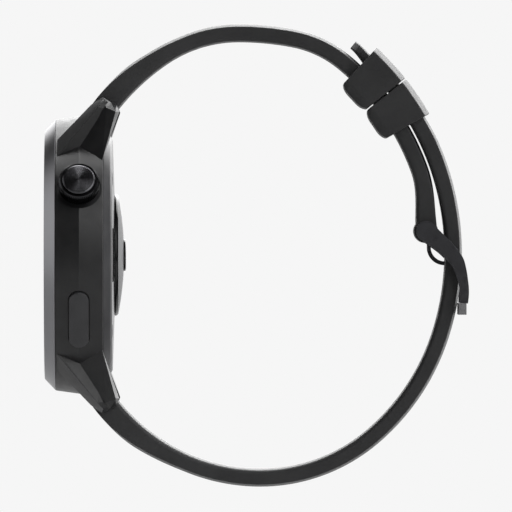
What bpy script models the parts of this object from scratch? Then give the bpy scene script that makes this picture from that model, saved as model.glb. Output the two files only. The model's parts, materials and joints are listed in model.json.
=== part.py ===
"""GPS running watch, built piece by piece.

Everything is placed in the watch frame, the way a watchmaker lays a watch down: X to 3 o'clock, Y to 12 o'clock
and Z up through the display, with the origin where the sensor lens meets the wrist. One empty then stands the
watch up, so that 12 o'clock points along world +Z and the display looks along world -Y. Lengths are in
millimetres until a mesh is made.
"""

import math

import bmesh
import bpy
from mathutils import Matrix, Vector

MM = 0.001
FIT = 0.05  # gap between pieces that are glued, clamped or stacked
RUN = 0.12  # gap between pieces that move on each other

# ---- Driving dimensions --------------------------------------------------------------------------
CASE_R = 21.0  # at the ridge round the case
CASE_EDGE_R = 20.5  # at the case's front and back edges
CASE_BORE_R = 18.6
BACK_Z = 3.4  # seam between back cover and case
RIDGE_Z = 7.0  # height of the ridge, and of the crown and button
FRONT_Z = 10.6  # seam between case and bezel
TOP_Z = 12.3  # front of the bezel
COVER_FACE_Z = 2.03  # rim of the back cover
CASE_STEPS = 60
SMALL_STEPS = 16

BEZEL_FACE_R = 18.75
GLASS_R = 17.7
GLASS_T = 0.8
LEDGE_R = 16.8

SENSOR_R = 9.2
SENSOR_RIM_Z = 1.13
DOME_R = 8.6
DOME_TOP_Z = 0.3
LENS_R = 2.4
LENS_T = 0.45

BOARD_Z = 4.6
BOARD_T = 0.6
CHASSIS_Z = 9.6
CHASSIS_T = 0.65
SCREW_RING_R = 16.2
SCREW_R = 0.5
SCREW_HEAD_R = 0.95
BOSS_R = 1.2

CROWN_DEG = 29.0
CROWN_R = 3.1
CROWN_BASE = CASE_R + FIT  # distance from the watch's centre to the knob's back
CROWN_LENGTH = 2.15
CROWN_FRONT = CROWN_BASE + CROWN_LENGTH
CROWN_POCKET_DEPTH = 0.65  # below the ridge
CROWN_POCKET_CLEAR = 0.3
KNURL_DEPTH = 0.16
CAP_R = 2.44
CAP_SEAT_DEPTH = 0.25
CAP_RISE = 0.5  # of the cap's face above the knob's
STEM_R = 1.0
TUBE_R = 1.75
GROOVE_R = 0.65  # of the stem at the seal and at the clip
KNURLS = 40

BUTTON_DEG = -28.0
BUTTON_LENGTH = 9.3
BUTTON_WIDTH = 3.0
BUTTON_PROUD = 0.5
BUTTON_STEM_R = 0.8
BUTTON_TRAVEL = 0.5
BUTTON_POCKET_DEPTH = 0.91  # below the case's surface at the button's far ends

LUG_GAP = 22.4
BAR_Y = 22.0
BAR_Z = 3.45
BAR_R = 0.8
BAR_TIP_R = 0.42
BAR_TIP_REACH = 0.9

STRAP_LUG_WIDTH = 21.8
STRAP_WIDTH = 20.0
STRAP_T = 2.2  # at the edge; the crown is added in the middle
STRAP_CROWN = 0.4
STRAP_LUG_T = 3.5
STRAP_HEADING = 54.0  # degrees, where a strap leaves its lug
LOOP_TOP = (17.0, 32.3)  # highest point of the loop's inner line, as (away from the display, to 12 o'clock)
LOOP_BOTTOM = (20.3, -32.45)
KEEPER_CENTRE = (9.1, 0.28)  # centre of the round stretch that the keepers slide along
UPPER_ARC_R = 36.22  # inner line of the upper strap on that stretch
LAYER_GAP = 0.3  # between the crown of the upper strap and the tail that lies on it
UPPER_ARC_START = 50.5  # degrees round the keepers' centre, above the level of the case
LOWER_ARC_START = -18.0
TAIL_END = 51.3
TAIL_TAPER_START = 24.0
TAIL_T = 1.1

KEEPER_WALL = 1.0
KEEPER_SPAN = 8.1  # degrees
KEEPER_CLEAR = 0.3
KEEPER_BULGE = 0.3
KEEPER_STEPS = 6
KEEPER_UPPER_AT = 42.9
KEEPER_LOWER_AT = 34.1

PIN = (45.3, 3.64)  # buckle pin
PIN_R = 0.7
PIN_BOSS_R = 1.8
PIN_FLARE = 5.0  # length over which the strap thickens towards the pin
PIN_SECTION_AT = 34.95  # inner line and thickness of the strap where it meets the pin
PIN_SECTION_T = 3.1
ARM_T = 1.3
ARM_GAP = 0.35
TONGUE_T = 0.6
TONGUE_W = 2.2
HOLE_LENGTH = 5.0  # leaves the tongue room to swing clear of the hole's round ends
HOLE_WIDTH = 3.0
HOLE_PITCH = 7.0
HOLE_FIRST = -3.2  # degrees round the keepers' centre, the hole that the tongue is in
HOLES_TO_TAIL = 4
HOLES_TO_LUG = 4


# ---- Scene, materials and collections ------------------------------------------------------------
def clear_scene():
    for obj in list(bpy.data.objects):
        bpy.data.objects.remove(obj)


def new_collection(name):
    collection = bpy.data.collections.new(name)
    bpy.context.scene.collection.children.link(collection)
    return collection


def material(name, colour, roughness, metallic=0.0):
    made = bpy.data.materials.new(name)
    made.use_nodes = True
    shader = made.node_tree.nodes["Principled BSDF"]
    shader.inputs["Base Color"].default_value = (*colour, 1.0)
    shader.inputs["Roughness"].default_value = roughness
    shader.inputs["Metallic"].default_value = metallic
    made.diffuse_color = (*colour, 1.0)
    return made


clear_scene()
PARTS = new_collection("gps_running_watch")
CUTTERS = new_collection("cutters")
POLYMER = material("case_polymer", (0.018, 0.018, 0.019), 0.42)
COATED_METAL = material("coated_metal", (0.10, 0.10, 0.105), 0.32, 1.0)
SILICONE = material("strap_silicone", (0.028, 0.028, 0.029), 0.6)
GLASS = material("cover_glass", (0.01, 0.01, 0.012), 0.05)
SENSOR_GLASS = material("sensor_glass", (0.35, 0.36, 0.37), 0.12)
BLACK_GLOSS = material("black_gloss", (0.006, 0.006, 0.007), 0.08)
BARE_STEEL = material("bare_steel", (0.55, 0.55, 0.56), 0.3, 1.0)
RUBBER = material("seal_rubber", (0.02, 0.02, 0.02), 0.7)
BOARD_GREEN = material("board_laminate", (0.02, 0.10, 0.05), 0.5)
TINNED = material("tinned_steel", (0.6, 0.6, 0.58), 0.35, 1.0)
CELL_FOIL = material("cell_foil", (0.45, 0.46, 0.48), 0.4, 1.0)
GOLD = material("gold_plate", (0.85, 0.6, 0.25), 0.25, 1.0)
LED_RESIN = material("led_resin", (0.6, 0.75, 0.5), 0.3)

# The watch frame: local Z is the display's normal, local Y points to 12 o'clock.
WATCH = bpy.data.objects.new("watch_frame", None)
WATCH.rotation_euler = (math.pi / 2, 0.0, 0.0)
PARTS.objects.link(WATCH)


def radial_frame(name, degrees):
    """An empty at the ridge's height whose Z runs outwards at that angle from 3 o'clock."""
    empty = bpy.data.objects.new(name, None)
    empty.parent = WATCH
    empty.location = (0.0, 0.0, RIDGE_Z * MM)
    empty.rotation_euler = (0.0, math.pi / 2, math.radians(degrees))
    PARTS.objects.link(empty)
    return empty


CROWN = radial_frame("crown_axis", CROWN_DEG)
BUTTON = radial_frame("button_axis", BUTTON_DEG)


# ---- Modelling helpers ---------------------------------------------------------------------------
def place(name, mesh, skin, parent=WATCH, at=(0, 0, 0), cutter=False):
    obj = bpy.data.objects.new(name, mesh)
    (CUTTERS if cutter else PARTS).objects.link(obj)
    obj.parent = parent
    obj.location = Vector(at) * MM
    if cutter:
        obj.hide_render = True
        obj.display_type = "WIRE"
    elif skin is not None:
        mesh.materials.append(skin)
    return obj


def finish_mesh(name, bm):
    """The bmesh, built in millimetres, as a mesh in metres with its faces pointing out."""
    bmesh.ops.remove_doubles(bm, verts=bm.verts, dist=1e-4)
    bmesh.ops.recalc_face_normals(bm, faces=bm.faces)
    bm.transform(Matrix.Scale(MM, 4))
    mesh = bpy.data.meshes.new(name)
    bm.to_mesh(mesh)
    bm.free()
    return mesh


def turned(name, profile, skin=None, parent=WATCH, at=(0, 0, 0), steps=SMALL_STEPS, cutter=False):
    """A turned piece. The profile is (radius, height) points, clockwise, closed unless it ends on the axis."""
    bm = bmesh.new()
    verts = [bm.verts.new((r, 0.0, z)) for r, z in profile]
    for a, b in zip(verts, verts[1:]):
        bm.edges.new((a, b))
    if profile[0][0] > 0:
        bm.edges.new((verts[-1], verts[0]))
    bm.transform(Matrix.Scale(MM, 4))
    mesh = bpy.data.meshes.new(name)
    bm.to_mesh(mesh)
    bm.free()
    obj = place(name, mesh, skin, parent, at, cutter)
    screw = obj.modifiers.new("turn", "SCREW")
    screw.axis = "Z"
    screw.steps = screw.render_steps = steps
    screw.use_merge_vertices = True
    screw.merge_threshold = 1e-5
    screw.use_smooth_shade = False
    return obj


def ring(inner, outer, low, high):
    return [(inner, high), (outer, high), (outer, low), (inner, low)]


def disc(radius, low, high, chamfer=0.0):
    if not chamfer:
        return [(0, high), (radius, high), (radius, low), (0, low)]
    return [(0, high), (radius - chamfer, high), (radius, high - chamfer), (radius, low), (0, low)]


def boxed(name, size, at, skin=None, parent=WATCH, cutter=False, chamfer=0.0):
    """A block, with its upright edges chamfered if asked."""
    bm = bmesh.new()
    bmesh.ops.create_cube(bm, size=1.0, matrix=Matrix.Diagonal((*size, 1.0)))
    if chamfer:
        upright = [e for e in bm.edges if abs(e.verts[0].co.z - e.verts[1].co.z) > 1e-6]
        bmesh.ops.bevel(bm, geom=upright, offset=chamfer, segments=2, affect="EDGES", profile=0.5)
    return place(name, finish_mesh(name, bm), skin, parent, at, cutter)


def outline_prism(name, outline, low, high, skin=None, parent=WATCH, cutter=False, matrix=None):
    """An outline of (a, b) points pushed from low to high along c. The matrix says where a, b and c point."""
    bm = bmesh.new()
    face = bm.faces.new([bm.verts.new((a, b, low)) for a, b in outline])
    pushed = bmesh.ops.extrude_face_region(bm, geom=[face])
    moved = [v for v in pushed["geom"] if isinstance(v, bmesh.types.BMVert)]
    bmesh.ops.translate(bm, verts=moved, vec=(0, 0, high - low))
    if matrix is not None:
        bm.transform(matrix)
    return place(name, finish_mesh(name, bm), skin, parent, (0, 0, 0), cutter)


# Side profiles are drawn as (away from the display, to 12 o'clock) and pushed along X.
SIDE = Matrix(((0, 0, 1, 0), (0, 1, 0, 0), (-1, 0, 0, 0), (0, 0, 0, 1)))


def pill_outline(length, width, steps=8):
    """A stadium, long along b."""
    r, half = width / 2, (length - width) / 2
    points = []
    for end, start in ((1, 0.0), (-1, 180.0)):
        for k in range(steps + 1):
            a = math.radians(start + 180.0 * k / steps)
            points.append((r * math.cos(a), end * half + r * math.sin(a)))
    return points


def boolean(obj, tool, operation="DIFFERENCE"):
    modifier = obj.modifiers.new(tool.name, "BOOLEAN")
    modifier.operation = operation
    modifier.solver = "EXACT"
    modifier.object = tool
    return obj


def polar(radius, degrees):
    a = math.radians(degrees)
    return radius * math.cos(a), radius * math.sin(a)


# ---- Case, bezel and display ---------------------------------------------------------------------
def button_floor():
    """Distance from the watch's centre to the floor of the button's pocket."""
    slope = (CASE_R - CASE_EDGE_R) / (FRONT_Z - RIDGE_Z)
    side = CASE_R - slope * BUTTON_WIDTH / 2
    return math.sqrt(side ** 2 - (BUTTON_LENGTH / 2) ** 2) - BUTTON_POCKET_DEPTH


def case_outer(extra=0.0):
    """Outer side of the case, front to back, with its ridge."""
    return [(CASE_EDGE_R + extra, FRONT_Z), (CASE_R + extra, RIDGE_Z), (CASE_EDGE_R + extra, BACK_Z)]


def lug_points(end, side):
    """Corners of one lug: its outline on the strap's side, and the facets of its outer side."""
    inner_x = LUG_GAP / 2
    inner = [
        (10.3, 17.4), (5.3, 22.6), (3.6, 23.9), (1.4, 22.8), (0.97, 21.6),
        (2.3, 18.1), (3.5, 15.5), (3.6, 14.9), (10.3, 14.9),
    ]
    outer = [
        (14.0, 9.5, 15.2), (13.2, 3.9, 22.2), (13.45, RIDGE_Z, 16.2), (13.5, 3.7, 20.8),
        (14.6, 3.5, 14.3), (13.3, 1.5, 21.6), (12.6, 2.2, 23.0),
    ]
    points = [(inner_x, y, z) for z, y in inner]
    points += [(x, y, z) for x, z, y in outer]
    return [(side * x, end * y, z) for x, y, z in points]


def lug(end, side):
    name = f"lug_{'upper' if end > 0 else 'lower'}_{'right' if side > 0 else 'left'}"
    bm = bmesh.new()
    for corner in lug_points(end, side):
        bm.verts.new(corner)
    hull = bmesh.ops.convex_hull(bm, input=bm.verts)
    loose = list({v for v in hull["geom_interior"] + hull["geom_unused"] if isinstance(v, bmesh.types.BMVert)})
    bmesh.ops.delete(bm, geom=loose, context="VERTS")
    return place(name, finish_mesh(name, bm), None, cutter=True)


def make_mid_case():
    case = turned("mid_case", [(0, FRONT_Z), *case_outer(), (0, BACK_Z)], POLYMER, steps=CASE_STEPS)
    for end in (1, -1):
        for side in (1, -1):
            boolean(case, lug(end, side), "UNION")
    bore = turned("case_bore", disc(CASE_BORE_R, BACK_Z - 2, FRONT_Z + 1), steps=CASE_STEPS, cutter=True)
    boolean(case, bore)
    for k in range(4):
        angle = 45 + 90 * k
        length = CASE_BORE_R - SCREW_RING_R + 2 * BOSS_R + 0.3
        x, y = polar(SCREW_RING_R - BOSS_R + length / 2, angle)
        turn = Matrix.Translation((x, y, 0)) @ Matrix.Rotation(math.radians(angle - 90), 4, "Z")
        outline = pill_outline(length, 2 * BOSS_R)
        low, high = BACK_Z + 1.1, CHASSIS_Z - 0.1
        boss = outline_prism(f"boss_{k + 1}", outline, low, high, cutter=True, matrix=turn)
        boolean(case, boss, "UNION")
        x, y = polar(SCREW_RING_R, angle)
        hole = turned(f"boss_hole_{k + 1}", disc(SCREW_R + 0.07, 0, 8.4), at=(x, y, 0), cutter=True, steps=16)
        boolean(case, hole)
    for end in (1, -1):
        # The strap's round end turns in a scallop, on a bar whose tips sit in blind holes in the lugs.
        word = "upper" if end > 0 else "lower"
        for part, radius, reach in (("scallop", 2.15, 8.6), ("tip_hole", 0.52, LUG_GAP / 2 + 1.2)):
            axis = Matrix(((0, 0, 1, 0), (0, 1, 0, end * BAR_Y), (-1, 0, 0, BAR_Z), (0, 0, 0, 1)))
            bm = bmesh.new()
            bmesh.ops.create_cone(
                bm, cap_ends=True, segments=24, radius1=radius, radius2=radius, depth=2 * reach, matrix=axis
            )
            name = f"{part}_{word}"
            boolean(case, place(name, finish_mesh(name, bm), None, cutter=True))
    outside = CASE_R + 3.0
    floor = CASE_R - CROWN_POCKET_DEPTH
    pocket = disc(CROWN_R + CROWN_POCKET_CLEAR, floor, outside)
    boolean(case, turned("crown_pocket", pocket, parent=CROWN, cutter=True, steps=32))
    boolean(case, turned("crown_bore", disc(TUBE_R + FIT, 16.5, CASE_R), parent=CROWN, cutter=True))
    slot = pill_outline(BUTTON_LENGTH + 2 * RUN, BUTTON_WIDTH + 2 * RUN)
    boolean(case, outline_prism("button_pocket", slot, button_floor(), outside, parent=BUTTON, cutter=True))
    bore = disc(BUTTON_STEM_R + 0.1, 16.5, button_floor() + 1.0)
    boolean(case, turned("button_bore", bore, parent=BUTTON, cutter=True))
    return case


def make_front():
    bezel = [
        (GLASS_R + 0.1, TOP_Z), (BEZEL_FACE_R, TOP_Z), (CASE_EDGE_R, FRONT_Z + FIT),
        (CASE_BORE_R - 0.1, FRONT_Z + FIT), (CASE_BORE_R - 0.1, 9.95), (GLASS_R + 0.1, 9.95),
        (GLASS_R + 0.1, 10.95), (LEDGE_R, 10.95), (LEDGE_R, 11.15), (GLASS_R + 0.1, 11.15),
    ]
    turned("bezel", bezel, COATED_METAL, steps=CASE_STEPS)
    glass_low = TOP_Z - FIT - GLASS_T
    turned("display_glass", disc(GLASS_R, glass_low, TOP_Z - FIT, chamfer=0.12), GLASS, steps=CASE_STEPS)
    turned("glass_gasket", ring(LEDGE_R + FIT, GLASS_R, 11.15 + FIT, glass_low - FIT), RUBBER, steps=48)
    panel = disc(LEDGE_R - 0.5, CHASSIS_Z + CHASSIS_T + FIT, glass_low - FIT)
    turned("display_panel", panel, BLACK_GLOSS, steps=48)
    antenna = ring(LEDGE_R - 0.3, GLASS_R, CHASSIS_Z + CHASSIS_T + FIT, 10.9)
    turned("antenna_ring", antenna, GOLD, steps=48)


# ---- Inside the case -----------------------------------------------------------------------------
def screw_places():
    return [polar(SCREW_RING_R, 45 + 90 * k) for k in range(4)]


def make_inside():
    turned("chassis", disc(GLASS_R - 0.05, CHASSIS_Z, CHASSIS_Z + CHASSIS_T), POLYMER, steps=48)
    board = turned("main_board", disc(17.5, BOARD_Z, BOARD_Z + BOARD_T), BOARD_GREEN, steps=50)
    for k, (x, y) in enumerate(screw_places()):
        spin = Matrix.Rotation(math.radians(45 + 90 * k - 90), 4, "Z")
        turn = Matrix.Translation((x * 1.06, y * 1.06, 0)) @ spin
        outline = pill_outline(6.0, 2 * BOSS_R + 0.5)
        boolean(board, outline_prism(f"board_notch_{k + 1}", outline, 4, 6, cutter=True, matrix=turn))
    board_top = BOARD_Z + BOARD_T
    boxed("battery", (19.5, 19.0, 3.9), (-3.3, 0, board_top + 0.2 + 1.95), CELL_FOIL, chamfer=1.2)
    boxed("processor_shield", (9.0, 8.0, 0.85), (-9.5, 4.4, BOARD_Z - FIT - 0.425), TINNED, chamfer=0.5)
    boxed("rf_shield", (8.0, 6.0, 0.85), (-9.5, -5.2, BOARD_Z - FIT - 0.425), TINNED, chamfer=0.5)
    turned("pressure_sensor", disc(1.5, board_top + FIT, board_top + 1.2, 0.2), BARE_STEEL, at=(0, -13.6, 0))
    # Coin motor: an open cup over a base, with the off-centre weight on the base's shaft.
    motor = (12.4, 0, 0)
    low = board_top + FIT
    cup = [
        (0, low + 2.7), (4.0, low + 2.7), (4.0, low + 0.3), (3.75, low + 0.3), (3.75, low + 2.45), (0, low + 2.45),
    ]
    turned("motor_can", cup, BARE_STEEL, at=motor, steps=32)
    base = [(0, low + 2.2), (0.4, low + 2.2), (0.4, low + 0.25), (4.0, low + 0.25), (4.0, low), (0, low)]
    turned("motor_base", base, BOARD_GREEN, at=motor, steps=32)
    outline = [polar(0.5, a) for a in range(-90, 91, 15)] + [polar(3.5, a) for a in range(90, -91, -15)]
    sector = [(x + 0.15, y) for x, y in outline]
    shift = Matrix.Translation(Vector((motor[0], 0, 0)))
    weight = outline_prism("motor_weight", sector, low + 0.5, low + 2.1, TINNED, matrix=shift)
    hub = turned("weight_hub", ring(0.48, 1.0, low + 0.5, low + 2.1), at=motor, cutter=True)
    boolean(weight, hub, "UNION")
    bore = turned("weight_bore", disc(0.48, low, low + 3), at=motor, cutter=True)
    boolean(weight, bore)


# ---- Back cover, optical sensor and charging port ------------------------------------------------
def dome_z(r):
    return DOME_TOP_Z + (SENSOR_RIM_Z - DOME_TOP_Z) * (r / DOME_R) ** 2


def cover_z(r):
    """The back cover's outer face, a shallow cone from its rim to the sensor."""
    rim, hub = 17.4, SENSOR_R
    return COVER_FACE_Z - 0.27 * (rim - r) / (rim - hub)


def make_back():
    top = BACK_Z - FIT
    opening = 7.9
    cover_profile = [
        (opening, top), (17.2, top), (17.2, BACK_Z + 1.0), (18.4, BACK_Z + 1.0), (18.4, BACK_Z + 0.75),
        (17.9, BACK_Z + 0.75), (17.9, BACK_Z + 0.2), (18.4, BACK_Z + 0.2), (18.4, top), (18.95, top),
        (17.95, COVER_FACE_Z + 0.3), (17.4, COVER_FACE_Z), (opening, cover_z(opening)),
    ]
    cover = turned("back_cover", cover_profile, POLYMER, steps=CASE_STEPS)
    gasket = ring(17.9 + FIT, 18.5, BACK_Z + 0.2 + FIT, BACK_Z + 0.75 - FIT)
    turned("back_gasket", gasket, RUBBER, steps=48)
    for k, (x, y) in enumerate(screw_places()):
        n = k + 1
        tower = turned(f"tower_{n}", disc(BOSS_R, top - 0.3, BACK_Z + 1.0), at=(x, y, 0), cutter=True)
        boolean(cover, tower, "UNION")
        seat = turned(f"head_seat_{n}", disc(SCREW_HEAD_R + 0.1, 1.0, 2.75), at=(x, y, 0), cutter=True)
        boolean(cover, seat)
        hole = turned(f"screw_hole_{n}", disc(SCREW_R + 0.1, 1.0, 6.0), at=(x, y, 0), cutter=True, steps=16)
        boolean(cover, hole)
        shank = [
            (0, 8.0), (SCREW_R - 0.15, 8.0), (SCREW_R, 7.8), (SCREW_R, 2.75 - FIT), (SCREW_HEAD_R, 2.75 - FIT),
            (SCREW_HEAD_R, 2.2), (0.35, 2.2), (0.3, 2.5), (0, 2.5),
        ]
        turned(f"case_screw_{n}", shank, BARE_STEEL, at=(x, y, 0), steps=16)
    port_x, port_size = 13.0, (3.2, 8.0)
    clear = (port_size[0] + 2 * FIT, port_size[1] + 2 * FIT, 4.0)
    boolean(cover, boxed("port_cut", clear, (port_x, 0, 2.5), cutter=True))
    port_low, port_high = cover_z(port_x) - 0.15, BOARD_Z - 0.3
    middle = (port_x, 0, (port_low + port_high) / 2)
    port = boxed("charge_port", (*port_size, port_high - port_low), middle, POLYMER)
    boolean(port, boxed("port_recess", (1.9, 6.9, 0.5), (port_x, 0, port_low), cutter=True))
    for k in range(4):
        y = 1.7 * (k - 1.5)
        well = turned(f"pin_well_{k + 1}", disc(0.5, 1.0, 5.0), at=(port_x, y, 0), cutter=True, steps=16)
        boolean(port, well)
        turned(f"charge_pin_{k + 1}", disc(0.44, port_low + 0.1, BOARD_Z - FIT), GOLD, at=(port_x, y, 0), steps=12)

    seat_z = cover_z(SENSOR_R) - FIT
    rim = [
        (DOME_R + FIT, seat_z), (SENSOR_R, seat_z), (SENSOR_R, SENSOR_RIM_Z + 0.35), (DOME_R + FIT, SENSOR_RIM_Z),
    ]
    turned("sensor_ring", rim, BLACK_GLOSS, steps=48)
    outer = [(DOME_R * k / 6, dome_z(DOME_R * k / 6)) for k in range(6, 2, -1)]
    seat = LENS_T + FIT
    window = [
        (0, 1.35), (7.4, 1.35), (7.4, seat_z - FIT), (DOME_R, seat_z - FIT), *outer,
        (LENS_R + FIT, dome_z(LENS_R + FIT)),
        (LENS_R + FIT, seat), (0, seat),
    ]
    turned("sensor_window", window, SENSOR_GLASS, steps=48)
    lens = [(0, LENS_T), (LENS_R, LENS_T), (LENS_R, 0.12), (LENS_R - 0.3, 0), (0, 0)]
    turned("sensor_lens", lens, BLACK_GLOSS, steps=32)
    turned("sensor_board", disc(7.5, 2.45, 3.0), BOARD_GREEN, steps=32)
    for name, skin, places in (
        ("green_led", LED_RESIN, ((0, 2.0), (0, -2.0))),
        ("photodiode", BLACK_GLOSS, ((4.3, 0), (-4.3, 0))),
    ):
        for k, (x, y) in enumerate(places):
            boxed(f"{name}_{k + 1}", (2.2, 2.0, 0.5), (x, y, 2.45 - FIT - 0.25), skin)


# ---- Crown ---------------------------------------------------------------------------------------
def make_crown():
    """Heights in the crown's frame are distances from the watch's centre."""
    floor = CASE_R - CROWN_POCKET_DEPTH
    turned("crown_tube", ring(STEM_R + 0.06, TUBE_R, 18.1, floor - FIT), BARE_STEEL, CROWN)
    top = CROWN_FRONT - 0.6
    stem = [
        (0, top), (STEM_R, top), (STEM_R, 20.1), (GROOVE_R, 20.1), (GROOVE_R, 19.5), (STEM_R, 19.5),
        (STEM_R, 18.05), (GROOVE_R, 18.05), (GROOVE_R, 17.65), (STEM_R, 17.65), (STEM_R, 14.2), (0, 14.2),
    ]
    turned("crown_stem", stem, BARE_STEEL, CROWN)
    turned("crown_o_ring", ring(GROOVE_R + FIT, STEM_R + 0.03, 19.5 + FIT, 20.1 - FIT), RUBBER, CROWN)
    turned("crown_clip", ring(GROOVE_R + FIT, 1.45, 17.65 + FIT, 18.05 - FIT), BARE_STEEL, CROWN)
    turned("encoder_magnet", ring(STEM_R + FIT, 1.5, 15.2, 16.6), TINNED, CROWN)

    bm = bmesh.new()
    bmesh.ops.create_circle(bm, cap_ends=True, segments=2 * KNURLS, radius=CROWN_R)
    for index, vert in enumerate(bm.verts):
        if index % 2:
            vert.co *= 1 - KNURL_DEPTH / CROWN_R
    lower = [v for v in bm.verts]
    made = bmesh.ops.extrude_face_region(bm, geom=list(bm.faces))
    raised = [v for v in made["geom"] if isinstance(v, bmesh.types.BMVert)]
    bmesh.ops.translate(bm, verts=raised, vec=(0, 0, CROWN_LENGTH))
    bmesh.ops.translate(bm, verts=lower + raised, vec=(0, 0, CROWN_BASE))
    knob = place("crown_knob", finish_mesh("crown_knob", bm), COATED_METAL, CROWN)
    face_r = CROWN_R - 0.25
    outside_r = CROWN_R + 0.2
    blank = [
        (0, CROWN_FRONT + 0.1), (face_r, CROWN_FRONT + 0.1), (face_r, CROWN_FRONT),
        (outside_r, CROWN_FRONT - 0.35), (outside_r, CROWN_BASE - 0.2), (0, CROWN_BASE - 0.2),
    ]
    boolean(knob, turned("knob_blank", blank, parent=CROWN, cutter=True, steps=40), "INTERSECT")
    bore = disc(STEM_R + FIT, CROWN_BASE - 1, top + FIT)
    boolean(knob, turned("knob_bore", bore, parent=CROWN, cutter=True))
    seat = CROWN_FRONT - CAP_SEAT_DEPTH
    cut = disc(CAP_R + 0.06, seat, CROWN_FRONT + 1)
    boolean(knob, turned("cap_seat", cut, parent=CROWN, cutter=True, steps=40))
    face = CROWN_FRONT + CAP_RISE
    cap = [(0, face), (CAP_R - 0.24, face - 0.08), (CAP_R, face - 0.3), (CAP_R, seat + FIT), (0, seat + FIT)]
    turned("crown_cap", cap, COATED_METAL, CROWN, steps=40)
    turned("crown_slider", disc(1.5, 13.7, 14.15), BARE_STEEL, CROWN)
    boxed("crown_switch", (3.1, 3.4, 1.6), (0.15, 0, 13.2 - 0.8), POLYMER, CROWN)


# ---- Back button ---------------------------------------------------------------------------------
def make_button():
    blank = [(17.5, FRONT_Z), *case_outer(BUTTON_PROUD), (17.5, BACK_Z)]
    cap = turned("button_cap", blank, POLYMER, steps=CASE_STEPS)
    pill = pill_outline(BUTTON_LENGTH, BUTTON_WIDTH)
    low = button_floor() + BUTTON_TRAVEL + 0.1
    outside = CASE_R + BUTTON_PROUD + 3
    boolean(cap, outline_prism("button_pill", pill, low, outside, parent=BUTTON, cutter=True), "INTERSECT")
    top = low - FIT
    stem = [
        (0, top), (BUTTON_STEM_R, top), (BUTTON_STEM_R, 18.5), (0.5, 18.5), (0.5, 18.05),
        (BUTTON_STEM_R, 18.05), (BUTTON_STEM_R, 15.4), (0, 15.4),
    ]
    turned("button_stem", stem, BARE_STEEL, BUTTON)
    turned("button_clip", ring(0.5 + FIT, 1.3, 18.05 + FIT, 18.5 - FIT), BARE_STEEL, BUTTON)
    boxed("button_switch", (3.1, 3.6, 1.6), (0.15, 0, 14.8 - 0.8), POLYMER, BUTTON)


# ---- Strap lines ---------------------------------------------------------------------------------
# A line is a list of (point, tangent) pairs in the side view, as (away from the display, to 12 o'clock).
def heading(degrees):
    return Vector(polar(1.0, degrees))


def left_of(tangent):
    return Vector((-tangent.y, tangent.x))


def arc_to(start, tangent, end, step=2.2):
    """Points along the arc that leaves start along tangent and ends at end, without its first point."""
    chord = end - start
    side = chord.dot(left_of(tangent))
    if abs(side) < 1e-6:
        return [(end, tangent.copy())]
    radius = chord.length_squared / (2 * side)
    centre = start + left_of(tangent) * radius
    sweep = 2 * math.asin(max(-1.0, min(1.0, chord.length / (2 * abs(radius)))))
    if chord.dot(tangent) < 0:
        sweep = 2 * math.pi - sweep
    sweep = math.copysign(sweep, side)
    count = max(2, round(abs(radius * sweep) / step))
    line = []
    for k in range(1, count + 1):
        turn = Matrix.Rotation(sweep * k / count, 2)
        line.append((centre + turn @ (start - centre), turn @ tangent))
    return line


def biarc(start, tangent, end, end_tangent):
    """Two arcs that join smoothly and meet both ends smoothly."""
    chord = end - start
    both = tangent + end_tangent
    spread = 2 * (1 - tangent.dot(end_tangent))
    reach = chord.dot(both)
    d = (-reach + math.sqrt(reach * reach + spread * chord.length_squared)) / spread
    middle = (start + end + (tangent - end_tangent) * d) / 2
    first = arc_to(start, tangent, middle)
    return first + arc_to(middle, first[-1][1], end)


def keeper_point(radius, degrees):
    return Vector(KEEPER_CENTRE) + Vector(polar(radius, degrees))


def keeper_arc(radius, first, last, step=3.2):
    """Points round the keepers' centre from one angle to another, in degrees."""
    turn = 90 if last > first else -90
    count = max(1, round(abs(last - first) / step))
    angles = [first + (last - first) * k / count for k in range(count + 1)]
    return [(keeper_point(radius, a), heading(a + turn)) for a in angles]


def smooth(t):
    t = max(0.0, min(1.0, t))
    return t * t * (3 - 2 * t)


def bar_centre(end):
    return Vector((-BAR_Z, end * BAR_Y))


def lug_start(end):
    """Where the strap's inner line starts, beside the spring bar, and its direction."""
    tangent = heading(end * STRAP_HEADING)
    return bar_centre(end) - left_of(tangent) * (end * STRAP_LUG_T / 2), tangent


TAIL_ARC_R = UPPER_ARC_R + STRAP_T + STRAP_CROWN + LAYER_GAP
PIN_DEG = math.degrees(math.atan2(PIN[1] - KEEPER_CENTRE[1], PIN[0] - KEEPER_CENTRE[0]))


def upper_line():
    """Inner line of the upper strap, from its lug over the top and down to the buckle pin."""
    start, tangent = lug_start(1)
    top = Vector(LOOP_TOP)
    line = [(start, tangent)]
    line += biarc(start, tangent, top, heading(0))
    arc = keeper_arc(UPPER_ARC_R, UPPER_ARC_START, PIN_DEG)
    line += biarc(top, heading(0), *arc[0])
    return line + arc[1:]


def lower_line():
    """Inner line of the lower strap, from its lug under the bottom, through the buckle and keepers to its tip."""
    start, tangent = lug_start(-1)
    bottom = Vector(LOOP_BOTTOM)
    line = [(start, tangent)]
    line += biarc(start, tangent, bottom, heading(0))
    arc = keeper_arc(TAIL_ARC_R, LOWER_ARC_START, TAIL_END)
    line += biarc(bottom, heading(0), *arc[0])
    return line + arc[1:]


def distances(line):
    run = [0.0]
    for (a, _), (b, _) in zip(line, line[1:]):
        run.append(run[-1] + (b - a).length)
    return run


LUG_TAPER = 16.0


def lug_thickness(s):
    return STRAP_LUG_T + (STRAP_T - STRAP_LUG_T) * smooth(s / LUG_TAPER)


def strap_half_width(s):
    return (STRAP_LUG_WIDTH + (STRAP_WIDTH - STRAP_LUG_WIDTH) * smooth(s / 22.0)) / 2


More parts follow.
